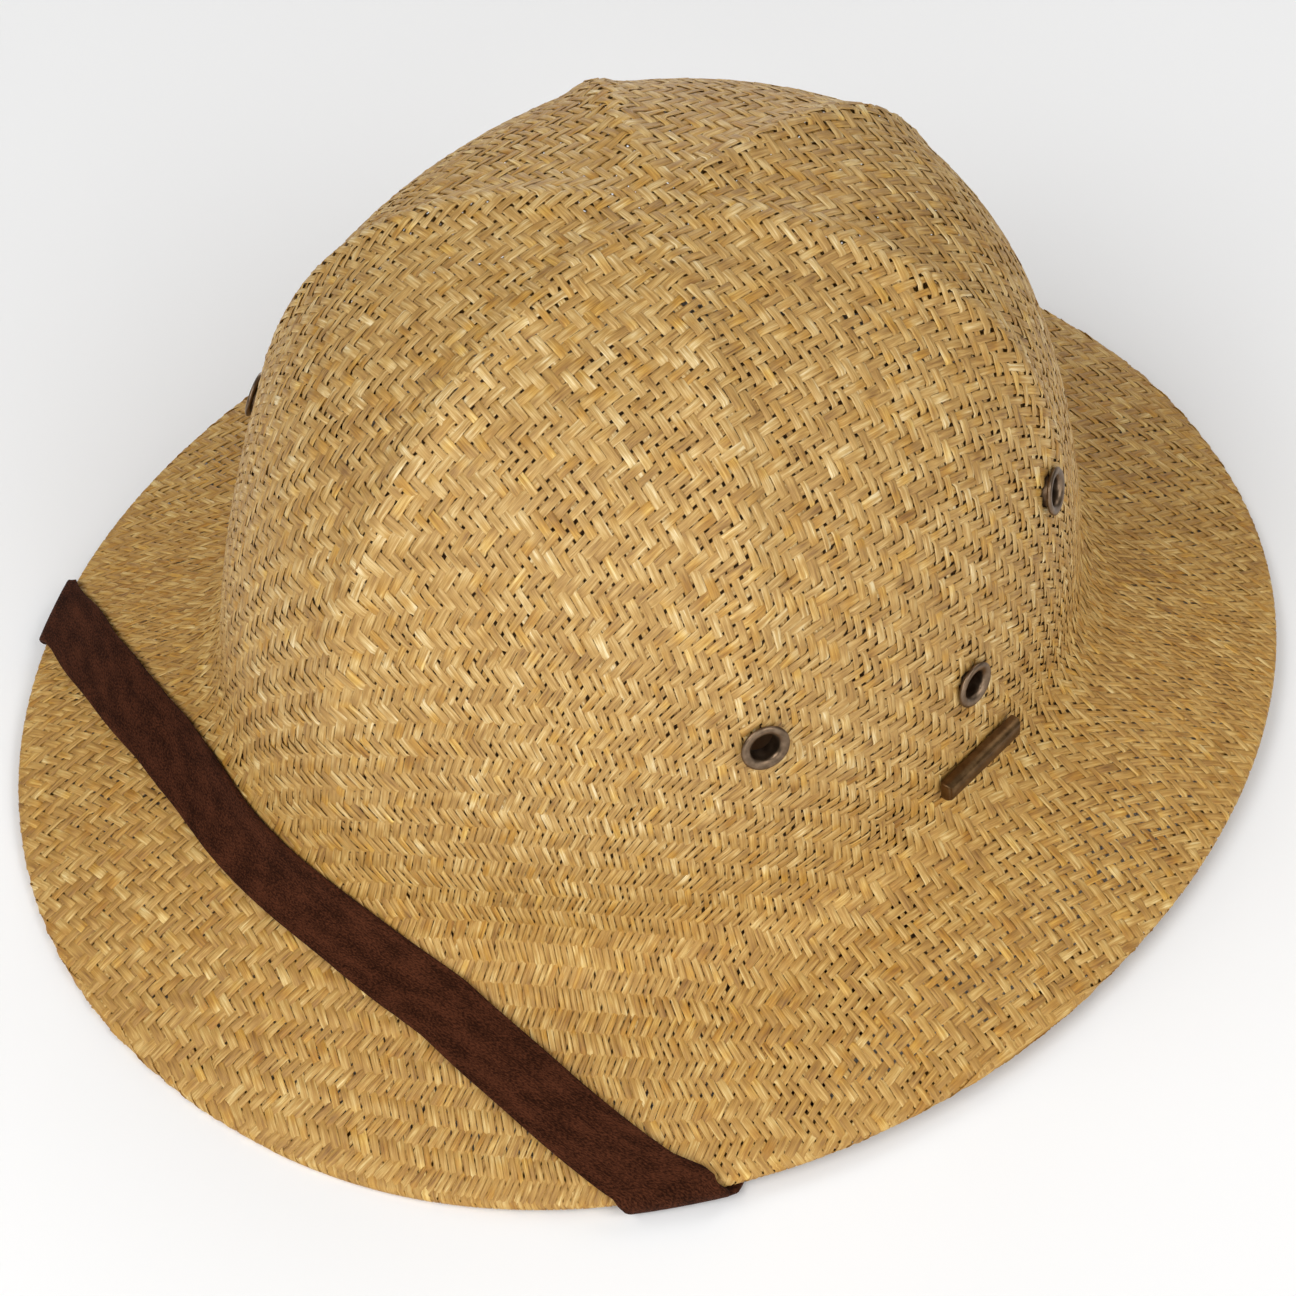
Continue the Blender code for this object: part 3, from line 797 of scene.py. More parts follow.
def all_strands():
    """The strands that run from side to side, and those that run from front to back."""
    weft, warp = [], []
    for number in range(crossings.shape[1]):
        phase = number - 2 * MIDDLE_STRAND
        weft.append(strand_rows(crossings[:, :, number], weft_room[:, number], phase, -WEFT_SWING))
        warp.append(strand_rows(crossings[:, number, :], warp_room[number, :], phase, WARP_SWING))
    return weft, warp


weft_strands, warp_strands = all_strands()
print("strand runs:", sum(map(len, weft_strands)), "weft and", sum(map(len, warp_strands)), "warp")


# %% Joined meshes of strands
def straw_mesh(name, runs):
    """One mesh of closed tubes, with lengths along and across in its UV map, a tint and its painted highlight."""
    points, quads, caps, along, across, tints, wear_and_highlight = [], [], [], [], [], [], []
    corner_count = len(STRAND_SECTION)
    side = np.arange(corner_count)[None, :]
    nxt = (side + 1) % corner_count
    way_round = np.array([way for _, _, way in STRAND_SECTION] + [SECTION_ROUND])
    edges = np.stack([way_round[:-1], way_round[1:], way_round[1:], way_round[:-1]], axis=-1)
    start = 0
    for corners, walked, half, tint, painted_highlight in runs:
        count = len(corners)
        points.append(corners.reshape(-1, 3))
        base = start + corner_count * np.arange(count - 1)[:, None]
        far = base + corner_count
        quads.append(np.stack([base + side, base + nxt, far + nxt, far + side], axis=-1).reshape(-1, 4))
        u = np.stack([walked[:-1], walked[:-1], walked[1:], walked[1:]], axis=-1)[:, None, :]
        along.append(np.broadcast_to(u, (count - 1, corner_count, 4)).reshape(-1))
        across.append(np.broadcast_to(edges[None] * half, (count - 1, corner_count, 4)).reshape(-1))
        last = start + corner_count * (count - 1)
        for ring in (start + np.arange(corner_count)[::-1], last + np.arange(corner_count)):
            caps += [ring[[0, 1, 4, 5]], ring[[1, 2, 3, 4]]]
        tints.append(np.full(corner_count * count, tint))
        wear_and_highlight.append(np.repeat(painted_highlight, corner_count))
        start += corner_count * count
    faces = np.concatenate(quads + [np.array(caps)])
    mesh = bpy.data.meshes.new(name)
    points = np.concatenate(points)
    mesh.vertices.add(len(points))
    mesh.vertices.foreach_set("co", points.astype(np.float32).ravel())
    mesh.loops.add(4 * len(faces))
    mesh.loops.foreach_set("vertex_index", faces.astype(np.int32).ravel())
    mesh.polygons.add(len(faces))
    mesh.polygons.foreach_set("loop_start", 4 * np.arange(len(faces), dtype=np.int32))
    mesh.update(calc_edges=True)
    mesh.validate()
    uv = np.zeros((4 * len(faces), 2), np.float32)
    filled = sum(len(part) for part in along)
    uv[:filled, 0] = np.concatenate(along)
    uv[:filled, 1] = np.concatenate(across)
    mesh.uv_layers.new(name="strand").data.foreach_set("uv", uv.ravel())
    for attribute, values in (("tint", tints), ("painted_highlight", wear_and_highlight)):
        values = np.concatenate(values).astype(np.float32)
        mesh.attributes.new(attribute, "FLOAT", "POINT").data.foreach_set("value", values)
    mesh.shade_smooth()
    mesh.set_sharp_from_angle(angle=SHARP_EDGE)
    piece = bpy.data.objects.new(name, mesh)
    bpy.context.scene.collection.objects.link(piece)
    return piece


PARTS_PER_DIRECTION = 3
SHARP_EDGE = math.radians(60.0)


def build_straw():
    pieces = []
    for direction, strands in (("side_to_side", weft_strands), ("front_to_back", warp_strands)):
        sizes = np.cumsum([sum(len(run[0]) for run in strand) for strand in strands])
        for part in range(PARTS_PER_DIRECTION):
            low, high = sizes[-1] * part / PARTS_PER_DIRECTION, sizes[-1] * (part + 1) / PARTS_PER_DIRECTION
            chosen = [strand for size, strand in zip(sizes, strands) if low < size <= high]
            runs = [run for strand in chosen for run in strand]
            piece = straw_mesh(f"straw_{direction}_{part + 1}", runs)
            join_hat(piece, "straw", "straw_body")
            pieces.append(piece)
            print(piece.name, 2 * len(piece.data.polygons), "triangles")
    return pieces


straw_pieces = build_straw()

# %% [markdown]
# ## Straw as a material
# Split straw is a bundle of fine fibres that run along the strand. Floats differ at random from
# nearly white to golden or tan, and the palest of them are partly painted highlights that stand in
# for glints off the shiny outer skin of the stalk. A node group makes this from noise that is
# stretched along each strand, read from the strand's own UV map, so the fibres follow every bend.
# The tint attribute gives each strand its own part of the noise. Painted highlights also make the
# side-to-side strands, the ridge creases and the fold round the foot paler.


# %% Node helpers and the straw fibre group
def new_group(name, inputs, outputs):
    """A node group with these sockets, and its input and output nodes."""
    group = bpy.data.node_groups.new(name, "ShaderNodeTree")
    for socket, kind in inputs:
        group.interface.new_socket(socket, in_out="INPUT", socket_type=kind)
    for socket, kind in outputs:
        group.interface.new_socket(socket, in_out="OUTPUT", socket_type=kind)
    return group, group.nodes.new("NodeGroupInput"), group.nodes.new("NodeGroupOutput")


def math_node(tree, operation, first, second, clamp=False):
    node = tree.nodes.new("ShaderNodeMath")
    node.operation = operation
    node.use_clamp = clamp
    for socket, value in zip(node.inputs, (first, second)):
        if isinstance(value, bpy.types.NodeSocket):
            tree.links.new(value, socket)
        else:
            socket.default_value = value
    return node.outputs[0]


def noise_node(tree, vector, scale, detail=2.0, roughness=0.5):
    node = tree.nodes.new("ShaderNodeTexNoise")
    node.inputs["Scale"].default_value = scale
    node.inputs["Detail"].default_value = detail
    node.inputs["Roughness"].default_value = roughness
    tree.links.new(vector, node.inputs["Vector"])
    return node.outputs["Fac"]


def stretched(tree, u, v, w, scales):
    """A vector of three values, each with its own scale."""
    node = tree.nodes.new("ShaderNodeCombineXYZ")
    for socket, value, scale in zip(node.inputs, (u, v, w), scales):
        tree.links.new(math_node(tree, "MULTIPLY", value, scale), socket)
    return node.outputs[0]


def ramp_node(tree, factor, stops):
    node = tree.nodes.new("ShaderNodeValToRGB")
    ramp = node.color_ramp
    while len(ramp.elements) < len(stops):
        ramp.elements.new(0.5)
    for element, (position, colour) in zip(ramp.elements, stops):
        element.position = position
        element.color = (*colour, 1.0)
    tree.links.new(factor, node.inputs["Fac"])
    return node.outputs["Color"]


# The palest stop is partly a painted highlight, cream glints on some floats. The rest is the straw's own tone.
STRAW_RAMP = [
    # share of the noise, colour
    (0.16, (0.196, 0.092, 0.021)),
    (0.40, (0.366, 0.199, 0.050)),
    (0.58, (0.480, 0.285, 0.083)),
    (0.74, (0.606, 0.418, 0.168)),
    (0.90, (0.780, 0.630, 0.360)),
]
BRIM_TONE = (0.97, 0.91, 0.72)
GOLDEN_TONE = (1.0, 0.88, 0.50)
# Side-to-side strands are painted paler. This is mostly a painted highlight for the sheen along their fibres, and
# partly a real difference between the two sets of straw.
WEFT_HIGHLIGHT = 0.04
# How much the painted highlight on the creases and the fold lightens the straw.
HIGHLIGHT_PALER = 0.04
PALER_ABOVE = 60.0 * MM
DEEPER_BELOW = 25.0 * MM


def straw_fibre_group():
    group, given, made = new_group(
        "straw fibre",
        [
            ("UV", "NodeSocketVector"),
            ("Tint", "NodeSocketFloat"),
            ("Painted highlight", "NodeSocketFloat"),
            ("Rise", "NodeSocketFloat"),
        ],
        [("Colour", "NodeSocketColor"), ("Roughness", "NodeSocketFloat"), ("Height", "NodeSocketFloat")],
    )
    split = group.nodes.new("ShaderNodeSeparateXYZ")
    group.links.new(given.outputs["UV"], split.inputs[0])
    u, v, tint = split.outputs[0], split.outputs[1], given.outputs["Tint"]
    fibres = noise_node(group, stretched(group, u, v, tint, (300.0, 6500.0, 91.0)), 1.0, 3.0, 0.65)
    splits = noise_node(group, stretched(group, u, v, tint, (150.0, 1900.0, 53.0)), 1.0, 2.0, 0.55)
    floats = noise_node(group, stretched(group, u, v, tint, (190.0, 60.0, 71.0)), 1.0, 1.0, 0.5)
    whole = noise_node(group, stretched(group, u, v, tint, (9.0, 1.0, 37.0)), 1.0, 2.0, 0.5)
    mixed = math_node(group, "MULTIPLY", fibres, 0.24)
    mixed = math_node(group, "ADD", mixed, math_node(group, "MULTIPLY", splits, 0.46))
    mixed = math_node(group, "ADD", mixed, math_node(group, "MULTIPLY", floats, 0.34))
    mixed = math_node(group, "ADD", mixed, math_node(group, "MULTIPLY", whole, 0.22))
    level = math_node(group, "MULTIPLY_ADD", math_node(group, "SUBTRACT", mixed, 0.63), 2.0)
    level.node.inputs[2].default_value = 0.53
    # Painted highlight: strands whose tint is above 1, the side-to-side ones, are made paler.
    weft_highlight = math_node(group, "MULTIPLY", math_node(group, "GREATER_THAN", tint, 1.0), WEFT_HIGHLIGHT)
    level = math_node(group, "ADD", level, weft_highlight)
    # Painted highlight: the creases and the fold round the foot are made paler.
    level = math_node(group, "ADD", level, math_node(group, "MULTIPLY", given.outputs["Painted highlight"], HIGHLIGHT_PALER))
    # Low on the hat the colour is multiplied by BRIM_TONE, a deeper yellow. Toward the top it is left paler.
    deeper = group.nodes.new("ShaderNodeMapRange")
    deeper.inputs["From Min"].default_value = PALER_ABOVE
    deeper.inputs["From Max"].default_value = DEEPER_BELOW
    group.links.new(given.outputs["Rise"], deeper.inputs["Value"])
    tone_by_height = group.nodes.new("ShaderNodeMix")
    tone_by_height.data_type = "RGBA"
    tone_by_height.blend_type = "MULTIPLY"
    tone_by_height.inputs["B"].default_value = (*BRIM_TONE, 1.0)
    group.links.new(deeper.outputs["Result"], tone_by_height.inputs["Factor"])
    group.links.new(ramp_node(group, level, STRAW_RAMP), tone_by_height.inputs["A"])
    stains = noise_node(group, stretched(group, u, v, tint, (170.0, 40.0, 133.0)), 1.0, 1.0, 0.5)
    stained = group.nodes.new("ShaderNodeMapRange")
    stained.inputs["From Min"].default_value = 0.52
    stained.inputs["From Max"].default_value = 0.70
    group.links.new(stains, stained.inputs["Value"])
    golden = group.nodes.new("ShaderNodeMix")
    golden.data_type = "RGBA"
    golden.blend_type = "MULTIPLY"
    golden.inputs["B"].default_value = (*GOLDEN_TONE, 1.0)
    group.links.new(stained.outputs["Result"], golden.inputs["Factor"])
    group.links.new(tone_by_height.outputs["Result"], golden.inputs["A"])
    group.links.new(golden.outputs["Result"], made.inputs["Colour"])
    rough = math_node(group, "MULTIPLY_ADD", fibres, 0.35)
    rough.node.inputs[2].default_value = 0.38
    group.links.new(rough, made.inputs["Roughness"])
    height = math_node(group, "ADD", splits, math_node(group, "MULTIPLY", fibres, 0.5))
    group.links.new(height, made.inputs["Height"])
    return group


def straw_material():
    material = bpy.data.materials.new("split straw")
    material.use_nodes = True
    tree = material.node_tree
    shader = tree.nodes["Principled BSDF"]
    fibre = tree.nodes.new("ShaderNodeGroup")
    fibre.node_tree = straw_fibre_group()
    uv = tree.nodes.new("ShaderNodeUVMap")
    uv.uv_map = "strand"
    tint = tree.nodes.new("ShaderNodeAttribute")
    tint.attribute_name = "tint"
    tree.links.new(uv.outputs["UV"], fibre.inputs["UV"])
    tree.links.new(tint.outputs["Fac"], fibre.inputs["Tint"])
    # The painted highlight on the creases and the fold is read from its mesh attribute.
    painted_highlight = tree.nodes.new("ShaderNodeAttribute")
    painted_highlight.attribute_name = "painted_highlight"
    tree.links.new(painted_highlight.outputs["Fac"], fibre.inputs["Painted highlight"])
    where = tree.nodes.new("ShaderNodeTexCoord")
    height = tree.nodes.new("ShaderNodeSeparateXYZ")
    tree.links.new(where.outputs["Object"], height.inputs[0])
    tree.links.new(height.outputs["Z"], fibre.inputs["Rise"])
    bump = tree.nodes.new("ShaderNodeBump")
    bump.inputs["Strength"].default_value = 0.8
    bump.inputs["Distance"].default_value = 0.2 * MM
    tree.links.new(fibre.outputs["Height"], bump.inputs["Height"])
    tree.links.new(bump.outputs["Normal"], shader.inputs["Normal"])
    tree.links.new(fibre.outputs["Colour"], shader.inputs["Base Color"])
    tree.links.new(fibre.outputs["Roughness"], shader.inputs["Roughness"])
    shader.inputs["Specular IOR Level"].default_value = 0.45
    return material


straw_finish = straw_material()
for piece in straw_pieces:
    piece.data.materials.append(straw_finish)
print("straw material on", len(straw_pieces), "pieces")

# %% [markdown]
# ## The chin strap
# The strap is one ribbon of suede, as wide as a finger. It lies flat over the front of the brim,
# bends round the brim's edge at both sides and runs up inside to the temples. A curve with a flat
# bevel would twist on the slope, so the ribbon is walked over the surface instead: lines at equal
# distances from its middle line are traced on the hat and joined with a section that has softly
# rounded cut edges.

# %% Sizes and the middle line
GAP = 0.3 * MM
STRAP_WIDTH = 14.4 * MM
STRAP_THICKNESS = 1.5 * MM
STRAP_HIDDEN_GAP = 0.7 * MM
STRAP_ANCHOR_ANGLE = 84.0
STRAP_ANCHOR_PLACE = 6.05
STRAP_FRONT = [
    # angle from the front in degrees, place down the profile
    (-55.75, 3.0),
    (-53.05, 2.8),
    (-49.05, 2.6),
    (-44.3, 2.38),
    (-40.0, 2.226),
    (-34.0, 2.044),
    (-28.0, 1.889),
    (-21.0, 1.754),
    (-14.0, 1.70),
    (-2.0, 1.66),
    (4.0, 1.672),
    (10.0, 1.728),
    (16.0, 1.829),
    (22.0, 1.954),
    (28.0, 2.126),
    (34.0, 2.336),
    (39.4, 2.58),
    (43.65, 2.8),
    (47.25, 3.0),
]
STRAP_LEAVES_TABLE = (-55.4, 46.9)
STRAP_MIDDLE = -2.0


# %% Walking over the surface
def through_rows(x, rows):
    """A smooth curve through rows of x and value (Catmull-Rom slopes)."""
    xs = np.array([row[0] for row in rows])
    values = np.array([row[1] for row in rows])
    slopes = np.gradient(values, xs)
    i = np.clip(np.searchsorted(xs, x) - 1, 0, len(xs) - 2)
    span = xs[i + 1] - xs[i]
    t = (x - xs[i]) / span
    blend = t * t * (3.0 - 2.0 * t)
    start = values[i] * (1.0 - blend) + slopes[i] * span * t * (1.0 - t) ** 2
    return start + values[i + 1] * blend - slopes[i + 1] * span * t * t * (1.0 - t)


def surface_frame(angle, place):
    """The two directions along the surface per unit of angle and place, and the normal."""
    step = 1e-3
    by_angle = (skin(angle + step, place) - skin(angle - step, place)) / (2.0 * step)
    by_place = (skin(angle, place + step) - skin(angle, place - step)) / (2.0 * step)
    normal = np.cross(by_place, by_angle)
    return by_angle, by_place, normal / np.linalg.norm(normal, axis=-1, keepdims=True)


def dot(a, b):
    return np.sum(a * b, axis=-1, keepdims=True)


def step_along(angle, place, heading, distance):
    """One short step over the surface, and the heading turned to stay on it."""
    by_angle, by_place, normal = surface_frame(angle, place)
    heading = unit(heading - normal * dot(heading, normal))
    aa, ap, pp = dot(by_angle, by_angle), dot(by_angle, by_place), dot(by_place, by_place)
    ha, hp = dot(by_angle, heading), dot(by_place, heading)
    scale = distance / (aa * pp - ap * ap)
    angle = angle + (scale * (pp * ha - ap * hp))[..., 0]
    place = place + (scale * (aa * hp - ap * ha))[..., 0]
    return angle, place, heading


def strap_half(side):
    """Places along the strap's middle line, from the front to its anchor inside one temple."""
    leaves = STRAP_LEAVES_TABLE[1] if side > 0 else STRAP_LEAVES_TABLE[0]
    degrees = STRAP_MIDDLE + (leaves - STRAP_MIDDLE) * np.sin(np.linspace(0.0, 0.5 * np.pi, 90))
    angles = list(np.radians(degrees))
    places = list(through_rows(degrees, STRAP_FRONT))
    last, before = skin(angles[-1], places[-1]), skin(angles[-2], places[-2])
    heading = unit(last - before)
    angle, place = np.float64(angles[-1]), np.float64(places[-1])
    target_angle = side * np.radians(STRAP_ANCHOR_ANGLE)
    target = skin(target_angle, STRAP_ANCHOR_PLACE)
    nearest = np.inf
    for _ in range(400):
        wrapped = place > 4.12
        if wrapped:
            toward = target - skin(angle, place)
            away = np.linalg.norm(toward)
            if away > nearest:
                break
            nearest = away
            heading = unit(heading + 0.05 * toward / away)
        length = (1.0 if wrapped or place < 2.9 else 0.35) * MM
        angle, place, heading = step_along(angle, place, heading, length)
        angles.append(float(angle))
        places.append(float(place))
    return np.array(angles), np.array(places)


# %% The ribbon
STRAP_SECTION = [
    # share of the half width, share of the thickness, round the section from under one edge
    (-0.95, 0.00),
    (-0.60, 0.00),
    (-0.20, 0.00),
    (0.20, 0.00),
    (0.60, 0.00),
    (0.95, 0.00),
    (1.00, 0.22),
    (1.00, 0.78),
    (0.97, 0.95),
    (0.92, 1.00),
    (0.60, 0.99),
    (0.20, 0.97),
    (-0.20, 0.97),
    (-0.60, 0.99),
    (-0.92, 1.00),
    (-0.97, 0.95),
    (-1.00, 0.78),
    (-1.00, 0.22),
]
STRAP_ROWS_FRONT = 90
STRAP_ROWS_HIDDEN = 50


def strap_lines(side, shares):
    """Lines from front to anchor, each at its own share of the half width from the middle."""
    angles, places = strap_half(side)
    line = skin(angles, places)
    along = unit(np.gradient(line, axis=0))
    normal = surface_frame(angles, places)[2]
    across = side * np.cross(normal, along)
    lines = []
    for share in shares:
        a, p, heading = angles, places, across * np.sign(share)
        count = int(np.ceil(abs(share) * 20))
        for _ in range(count):
            a, p, heading = step_along(a, p, heading, abs(share) * 0.5 * STRAP_WIDTH / count)
        lines.append((a, p))
    return lines


def strap_columns(side, shares):
    """Rows of places across the strap. Round the brim's edge each row lies along the edge."""
    edge_rows = np.concatenate([[2.8, 2.9, 2.96], np.linspace(3.02, 3.98, 17), [4.06, 4.13, 4.2]])
    columns = []
    for angles, places in strap_lines(side, shares):
        index = np.arange(len(places), dtype=float)
        turning = index > np.max(index[places < 2.6], initial=0.0)
        at_edge = np.interp(edge_rows, places[turning], index[turning])
        front = at_edge[0] * np.linspace(0.0, 1.0, STRAP_ROWS_FRONT)[:-1]
        hidden = at_edge[-1] + (index[-1] - at_edge[-1]) * np.linspace(0.0, 1.0, STRAP_ROWS_HIDDEN)[1:]
        rows = np.concatenate([front, at_edge, hidden])
        columns.append(np.stack([np.interp(rows, index, angles), np.interp(rows, index, places)], axis=-1))
    return np.stack(columns, axis=1)


def build_strap():
    shares = sorted({share for share, _ in STRAP_SECTION})
    rows = np.vstack([strap_columns(-1.0, shares)[:0:-1], strap_columns(1.0, shares)])
    order = [shares.index(share) for share, _ in STRAP_SECTION]
    rise = np.array([rise for _, rise in STRAP_SECTION])[None, :, None] * STRAP_THICKNESS
    angles, places = rows[:, order, 0], rows[:, order, 1]
    gap = GAP + (STRAP_HIDDEN_GAP - GAP) * smooth((places[..., None] - 4.06) / 0.14)
    loops = skin(angles, places, gap + rise)
    count = loops.shape[1]
    middle = loops.mean(axis=1)
    walked = np.concatenate([[0.0], np.cumsum(np.linalg.norm(np.diff(middle, axis=0), axis=1))])
    ring = np.linalg.norm(np.roll(loops, -1, axis=1) - loops, axis=-1).mean(axis=0)
    around = np.concatenate([[0.0], np.cumsum(ring)])
    faces, uvs = [], []
    for row in range(len(loops) - 1):
        for i in range(count):
            j = (i + 1) % count
            a, b = row * count, (row + 1) * count
            faces.append((a + i, a + j, b + j, b + i))
            u0, u1, v0, v1 = walked[row], walked[row + 1], around[i], around[i + 1]
            uvs += [(u0, v0), (u0, v1), (u1, v1), (u1, v0)]
    last = (len(loops) - 1) * count
    faces.append(tuple(range(count))[::-1])
    faces.append(tuple(range(last, last + count)))
    uvs += [(0.0, 0.0)] * (2 * count)
    mesh = bpy.data.meshes.new("strap_suede")
    mesh.from_pydata(loops.reshape(-1, 3).tolist(), [], faces)
    mesh.uv_layers.new(name="ribbon").data.foreach_set("uv", np.array(uvs, np.float32).ravel())
    piece = bpy.data.objects.new("strap_suede", mesh)
    bpy.context.scene.collection.objects.link(piece)
    select_only(piece)
    bpy.ops.object.mode_set(mode="EDIT")
    bpy.ops.mesh.select_all(action="SELECT")
    bpy.ops.mesh.normals_make_consistent(inside=False)
    bpy.ops.object.mode_set(mode="OBJECT")
    bpy.ops.object.shade_smooth()
    return piece, walked[-1]


strap, strap_length = build_strap()
join_hat(strap, "suede", "strap")
print("strap length in mm:", round(float(strap_length) / MM, 1))

# %% [markdown]
# ## Suede
# Suede is leather with its fibrous inner side turned out. It looks almost black brown, with a
# short nap that catches the light in soft patches, so it is very rough and a little lighter at
# grazing angles. One group makes the patches and the nap.


# %% Suede finish
def suede_group():
    group, given, made = new_group(
        "suede nap",
        [("UV", "NodeSocketVector"), ("Dark", "NodeSocketColor"), ("Light", "NodeSocketColor")],
        [("Colour", "NodeSocketColor"), ("Height", "NodeSocketFloat")],
    )
    split = group.nodes.new("ShaderNodeSeparateXYZ")
    group.links.new(given.outputs["UV"], split.inputs[0])
    u, v = split.outputs[0], split.outputs[1]
    nap = noise_node(group, stretched(group, u, v, u, (1500.0, 2200.0, 0.0)), 1.0, 3.0, 0.7)
    patches = noise_node(group, stretched(group, u, v, u, (140.0, 230.0, 0.0)), 1.0, 2.0, 0.5)
    mixed = math_node(group, "ADD", math_node(group, "MULTIPLY", nap, 0.7), math_node(group, "MULTIPLY", patches, 0.3))
    shade = group.nodes.new("ShaderNodeMapRange")
    shade.inputs["From Min"].default_value = 0.42
    shade.inputs["From Max"].default_value = 0.61
    group.links.new(mixed, shade.inputs["Value"])
    blend = group.nodes.new("ShaderNodeMix")
    blend.data_type = "RGBA"
    group.links.new(shade.outputs["Result"], blend.inputs["Factor"])
    group.links.new(given.outputs["Dark"], blend.inputs["A"])
    group.links.new(given.outputs["Light"], blend.inputs["B"])
    group.links.new(blend.outputs["Result"], made.inputs["Colour"])
    group.links.new(nap, made.inputs["Height"])
    return group


def suede_material():
    material = bpy.data.materials.new("dark suede")
    material.use_nodes = True
    tree = material.node_tree
    shader = tree.nodes["Principled BSDF"]
    nap = tree.nodes.new("ShaderNodeGroup")
    nap.node_tree = suede_group()
    nap.inputs["Dark"].default_value = (0.017, 0.005, 0.002, 1.0)
    nap.inputs["Light"].default_value = (0.082, 0.025, 0.011, 1.0)
    uv = tree.nodes.new("ShaderNodeUVMap")
    uv.uv_map = "ribbon"
    tree.links.new(uv.outputs["UV"], nap.inputs["UV"])
    bump = tree.nodes.new("ShaderNodeBump")
    bump.inputs["Strength"].default_value = 0.8
    bump.inputs["Distance"].default_value = 0.25 * MM
    tree.links.new(nap.outputs["Height"], bump.inputs["Height"])
    tree.links.new(bump.outputs["Normal"], shader.inputs["Normal"])
    tree.links.new(nap.outputs["Colour"], shader.inputs["Base Color"])
    shader.inputs["Roughness"].default_value = 0.95
    shader.inputs["Specular IOR Level"].default_value = 0.04
    shader.inputs["Sheen Weight"].default_value = 0.02
    shader.inputs["Sheen Roughness"].default_value = 0.5
    return material


strap.data.materials.append(suede_material())
print("suede on", strap.name)

# %% [markdown]
# ## Eyelets
# A brass eyelet starts as a short tube with a flange. It is pushed through the straw and its far
# end is flared over, which leaves a dished ring outside. A lathe shape like this is drawn as one
# circle that is extruded, scaled and lifted from corner to corner of the section until it closes
# on itself.


# %% Turning a ring by hand
RING_SIDES = 64


def turned_ring(name, section):
    """A ring whose section runs through these radii and heights and closes on itself."""
    bpy.ops.object.select_all(action="DESELECT")
    radius, height = section[0]
    bpy.ops.mesh.primitive_circle_add(vertices=RING_SIDES, radius=radius, location=(0.0, 0.0, 0.0))
    piece = bpy.context.object
    piece.name = name
    bpy.ops.object.mode_set(mode="EDIT")
    bpy.ops.mesh.select_all(action="SELECT")
    bpy.ops.transform.translate(value=(0.0, 0.0, height))
    for next_radius, next_height in section[1:] + section[:1]:
        share = next_radius / radius
        bpy.ops.mesh.extrude_edges_move(TRANSFORM_OT_translate={"value": (0.0, 0.0, next_height - height)})
        bpy.ops.transform.resize(value=(share, share, 1.0), center_override=(0.0, 0.0, next_height))
        radius, height = next_radius, next_height
    bpy.ops.mesh.select_all(action="SELECT")
    bpy.ops.mesh.remove_doubles(threshold=0.001 * MM)
    bpy.ops.mesh.normals_make_consistent(inside=False)
    bpy.ops.object.mode_set(mode="OBJECT")
    bpy.ops.object.shade_smooth_by_angle(angle=math.radians(60.0))
    return piece


HOLE_RADIUS = 3.0 * MM
BARREL_RADIUS = 3.4 * MM
FLANGE_RADIUS = 5.15 * MM
BACK_RADIUS = 4.6 * MM
CREST_RADIUS = 4.45 * MM
LIP_DROP = 0.15 * MM


def eyelet_section(back, front):
    """Radius and height round the section, for a ring that reaches from back to front."""
    roll = 0.9 * MM
    seat = front - roll
    lip = FLANGE_RADIUS - CREST_RADIUS
    mouth = [
        (HOLE_RADIUS + (CREST_RADIUS - HOLE_RADIUS) * (1.0 - math.cos(t)), front - 1.3 * roll * (1.0 - math.sin(t)))
        for t in np.linspace(0.0, 0.5 * math.pi, 9)
    ]
    rim = [
        (CREST_RADIUS + lip * math.sin(t), front - 0.6 * roll * (1.0 - math.cos(t)))
        for t in np.linspace(0.0, 0.75 * math.pi, 10)[1:]
    ]
    return (
        [(HOLE_RADIUS, back + 0.35 * roll)]
        + mouth
        + rim
        + [
            (BARREL_RADIUS + 0.5 * roll, seat - LIP_DROP),
            (BARREL_RADIUS, seat - LIP_DROP),
            (BARREL_RADIUS, back + 0.60 * roll),
            (BACK_RADIUS, back + 0.60 * roll),
            (BACK_RADIUS, back + 0.40 * roll),
            (BACK_RADIUS - 0.30 * roll, back),
            (HOLE_RADIUS + 0.20 * roll, back),
        ]
    )


def build_eyelets():
    pieces = []
    for side, sign in (("left", 1.0), ("right", -1.0)):
        for place_name, degrees, place in EYELETS:
            node = f"eyelet_{side}_{place_name}"
            angle = sign * math.radians(degrees)
            seat = Vector(skin(angle, place))
            axis = Vector(normal_of(plain_form, angle, place))
            heights = [(vertex.co - seat).dot(axis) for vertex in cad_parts[node].data.vertices]
            ring = turned_ring("ring_" + side + "_" + place_name, eyelet_section(min(heights), max(heights)))
            ring.matrix_world = Matrix.Translation(seat) @ axis.to_track_quat("Z", "Y").to_matrix().to_4x4()
            apply_place(ring)
            join_hat(ring, "brass", node)
            pieces.append(ring)
    return pieces


eyelets = build_eyelets()
print("eyelets:", [piece.name for piece in eyelets])

# %% [markdown]
# ## The bar badge
# A small solid bar with a rounded face is pinned level at the foot of the crown. It is modelled
# as a box whose long front edges are rounded with a wide bevel and whose ends get a fine one.

# %% Bar
BADGE_LENGTH = 24.8 * MM
BADGE_HEIGHT = 4.6 * MM
BADGE_DEPTH = 3.0 * MM
BADGE_ANGLE = 91.3
BADGE_WAY_DOWN = 0.984


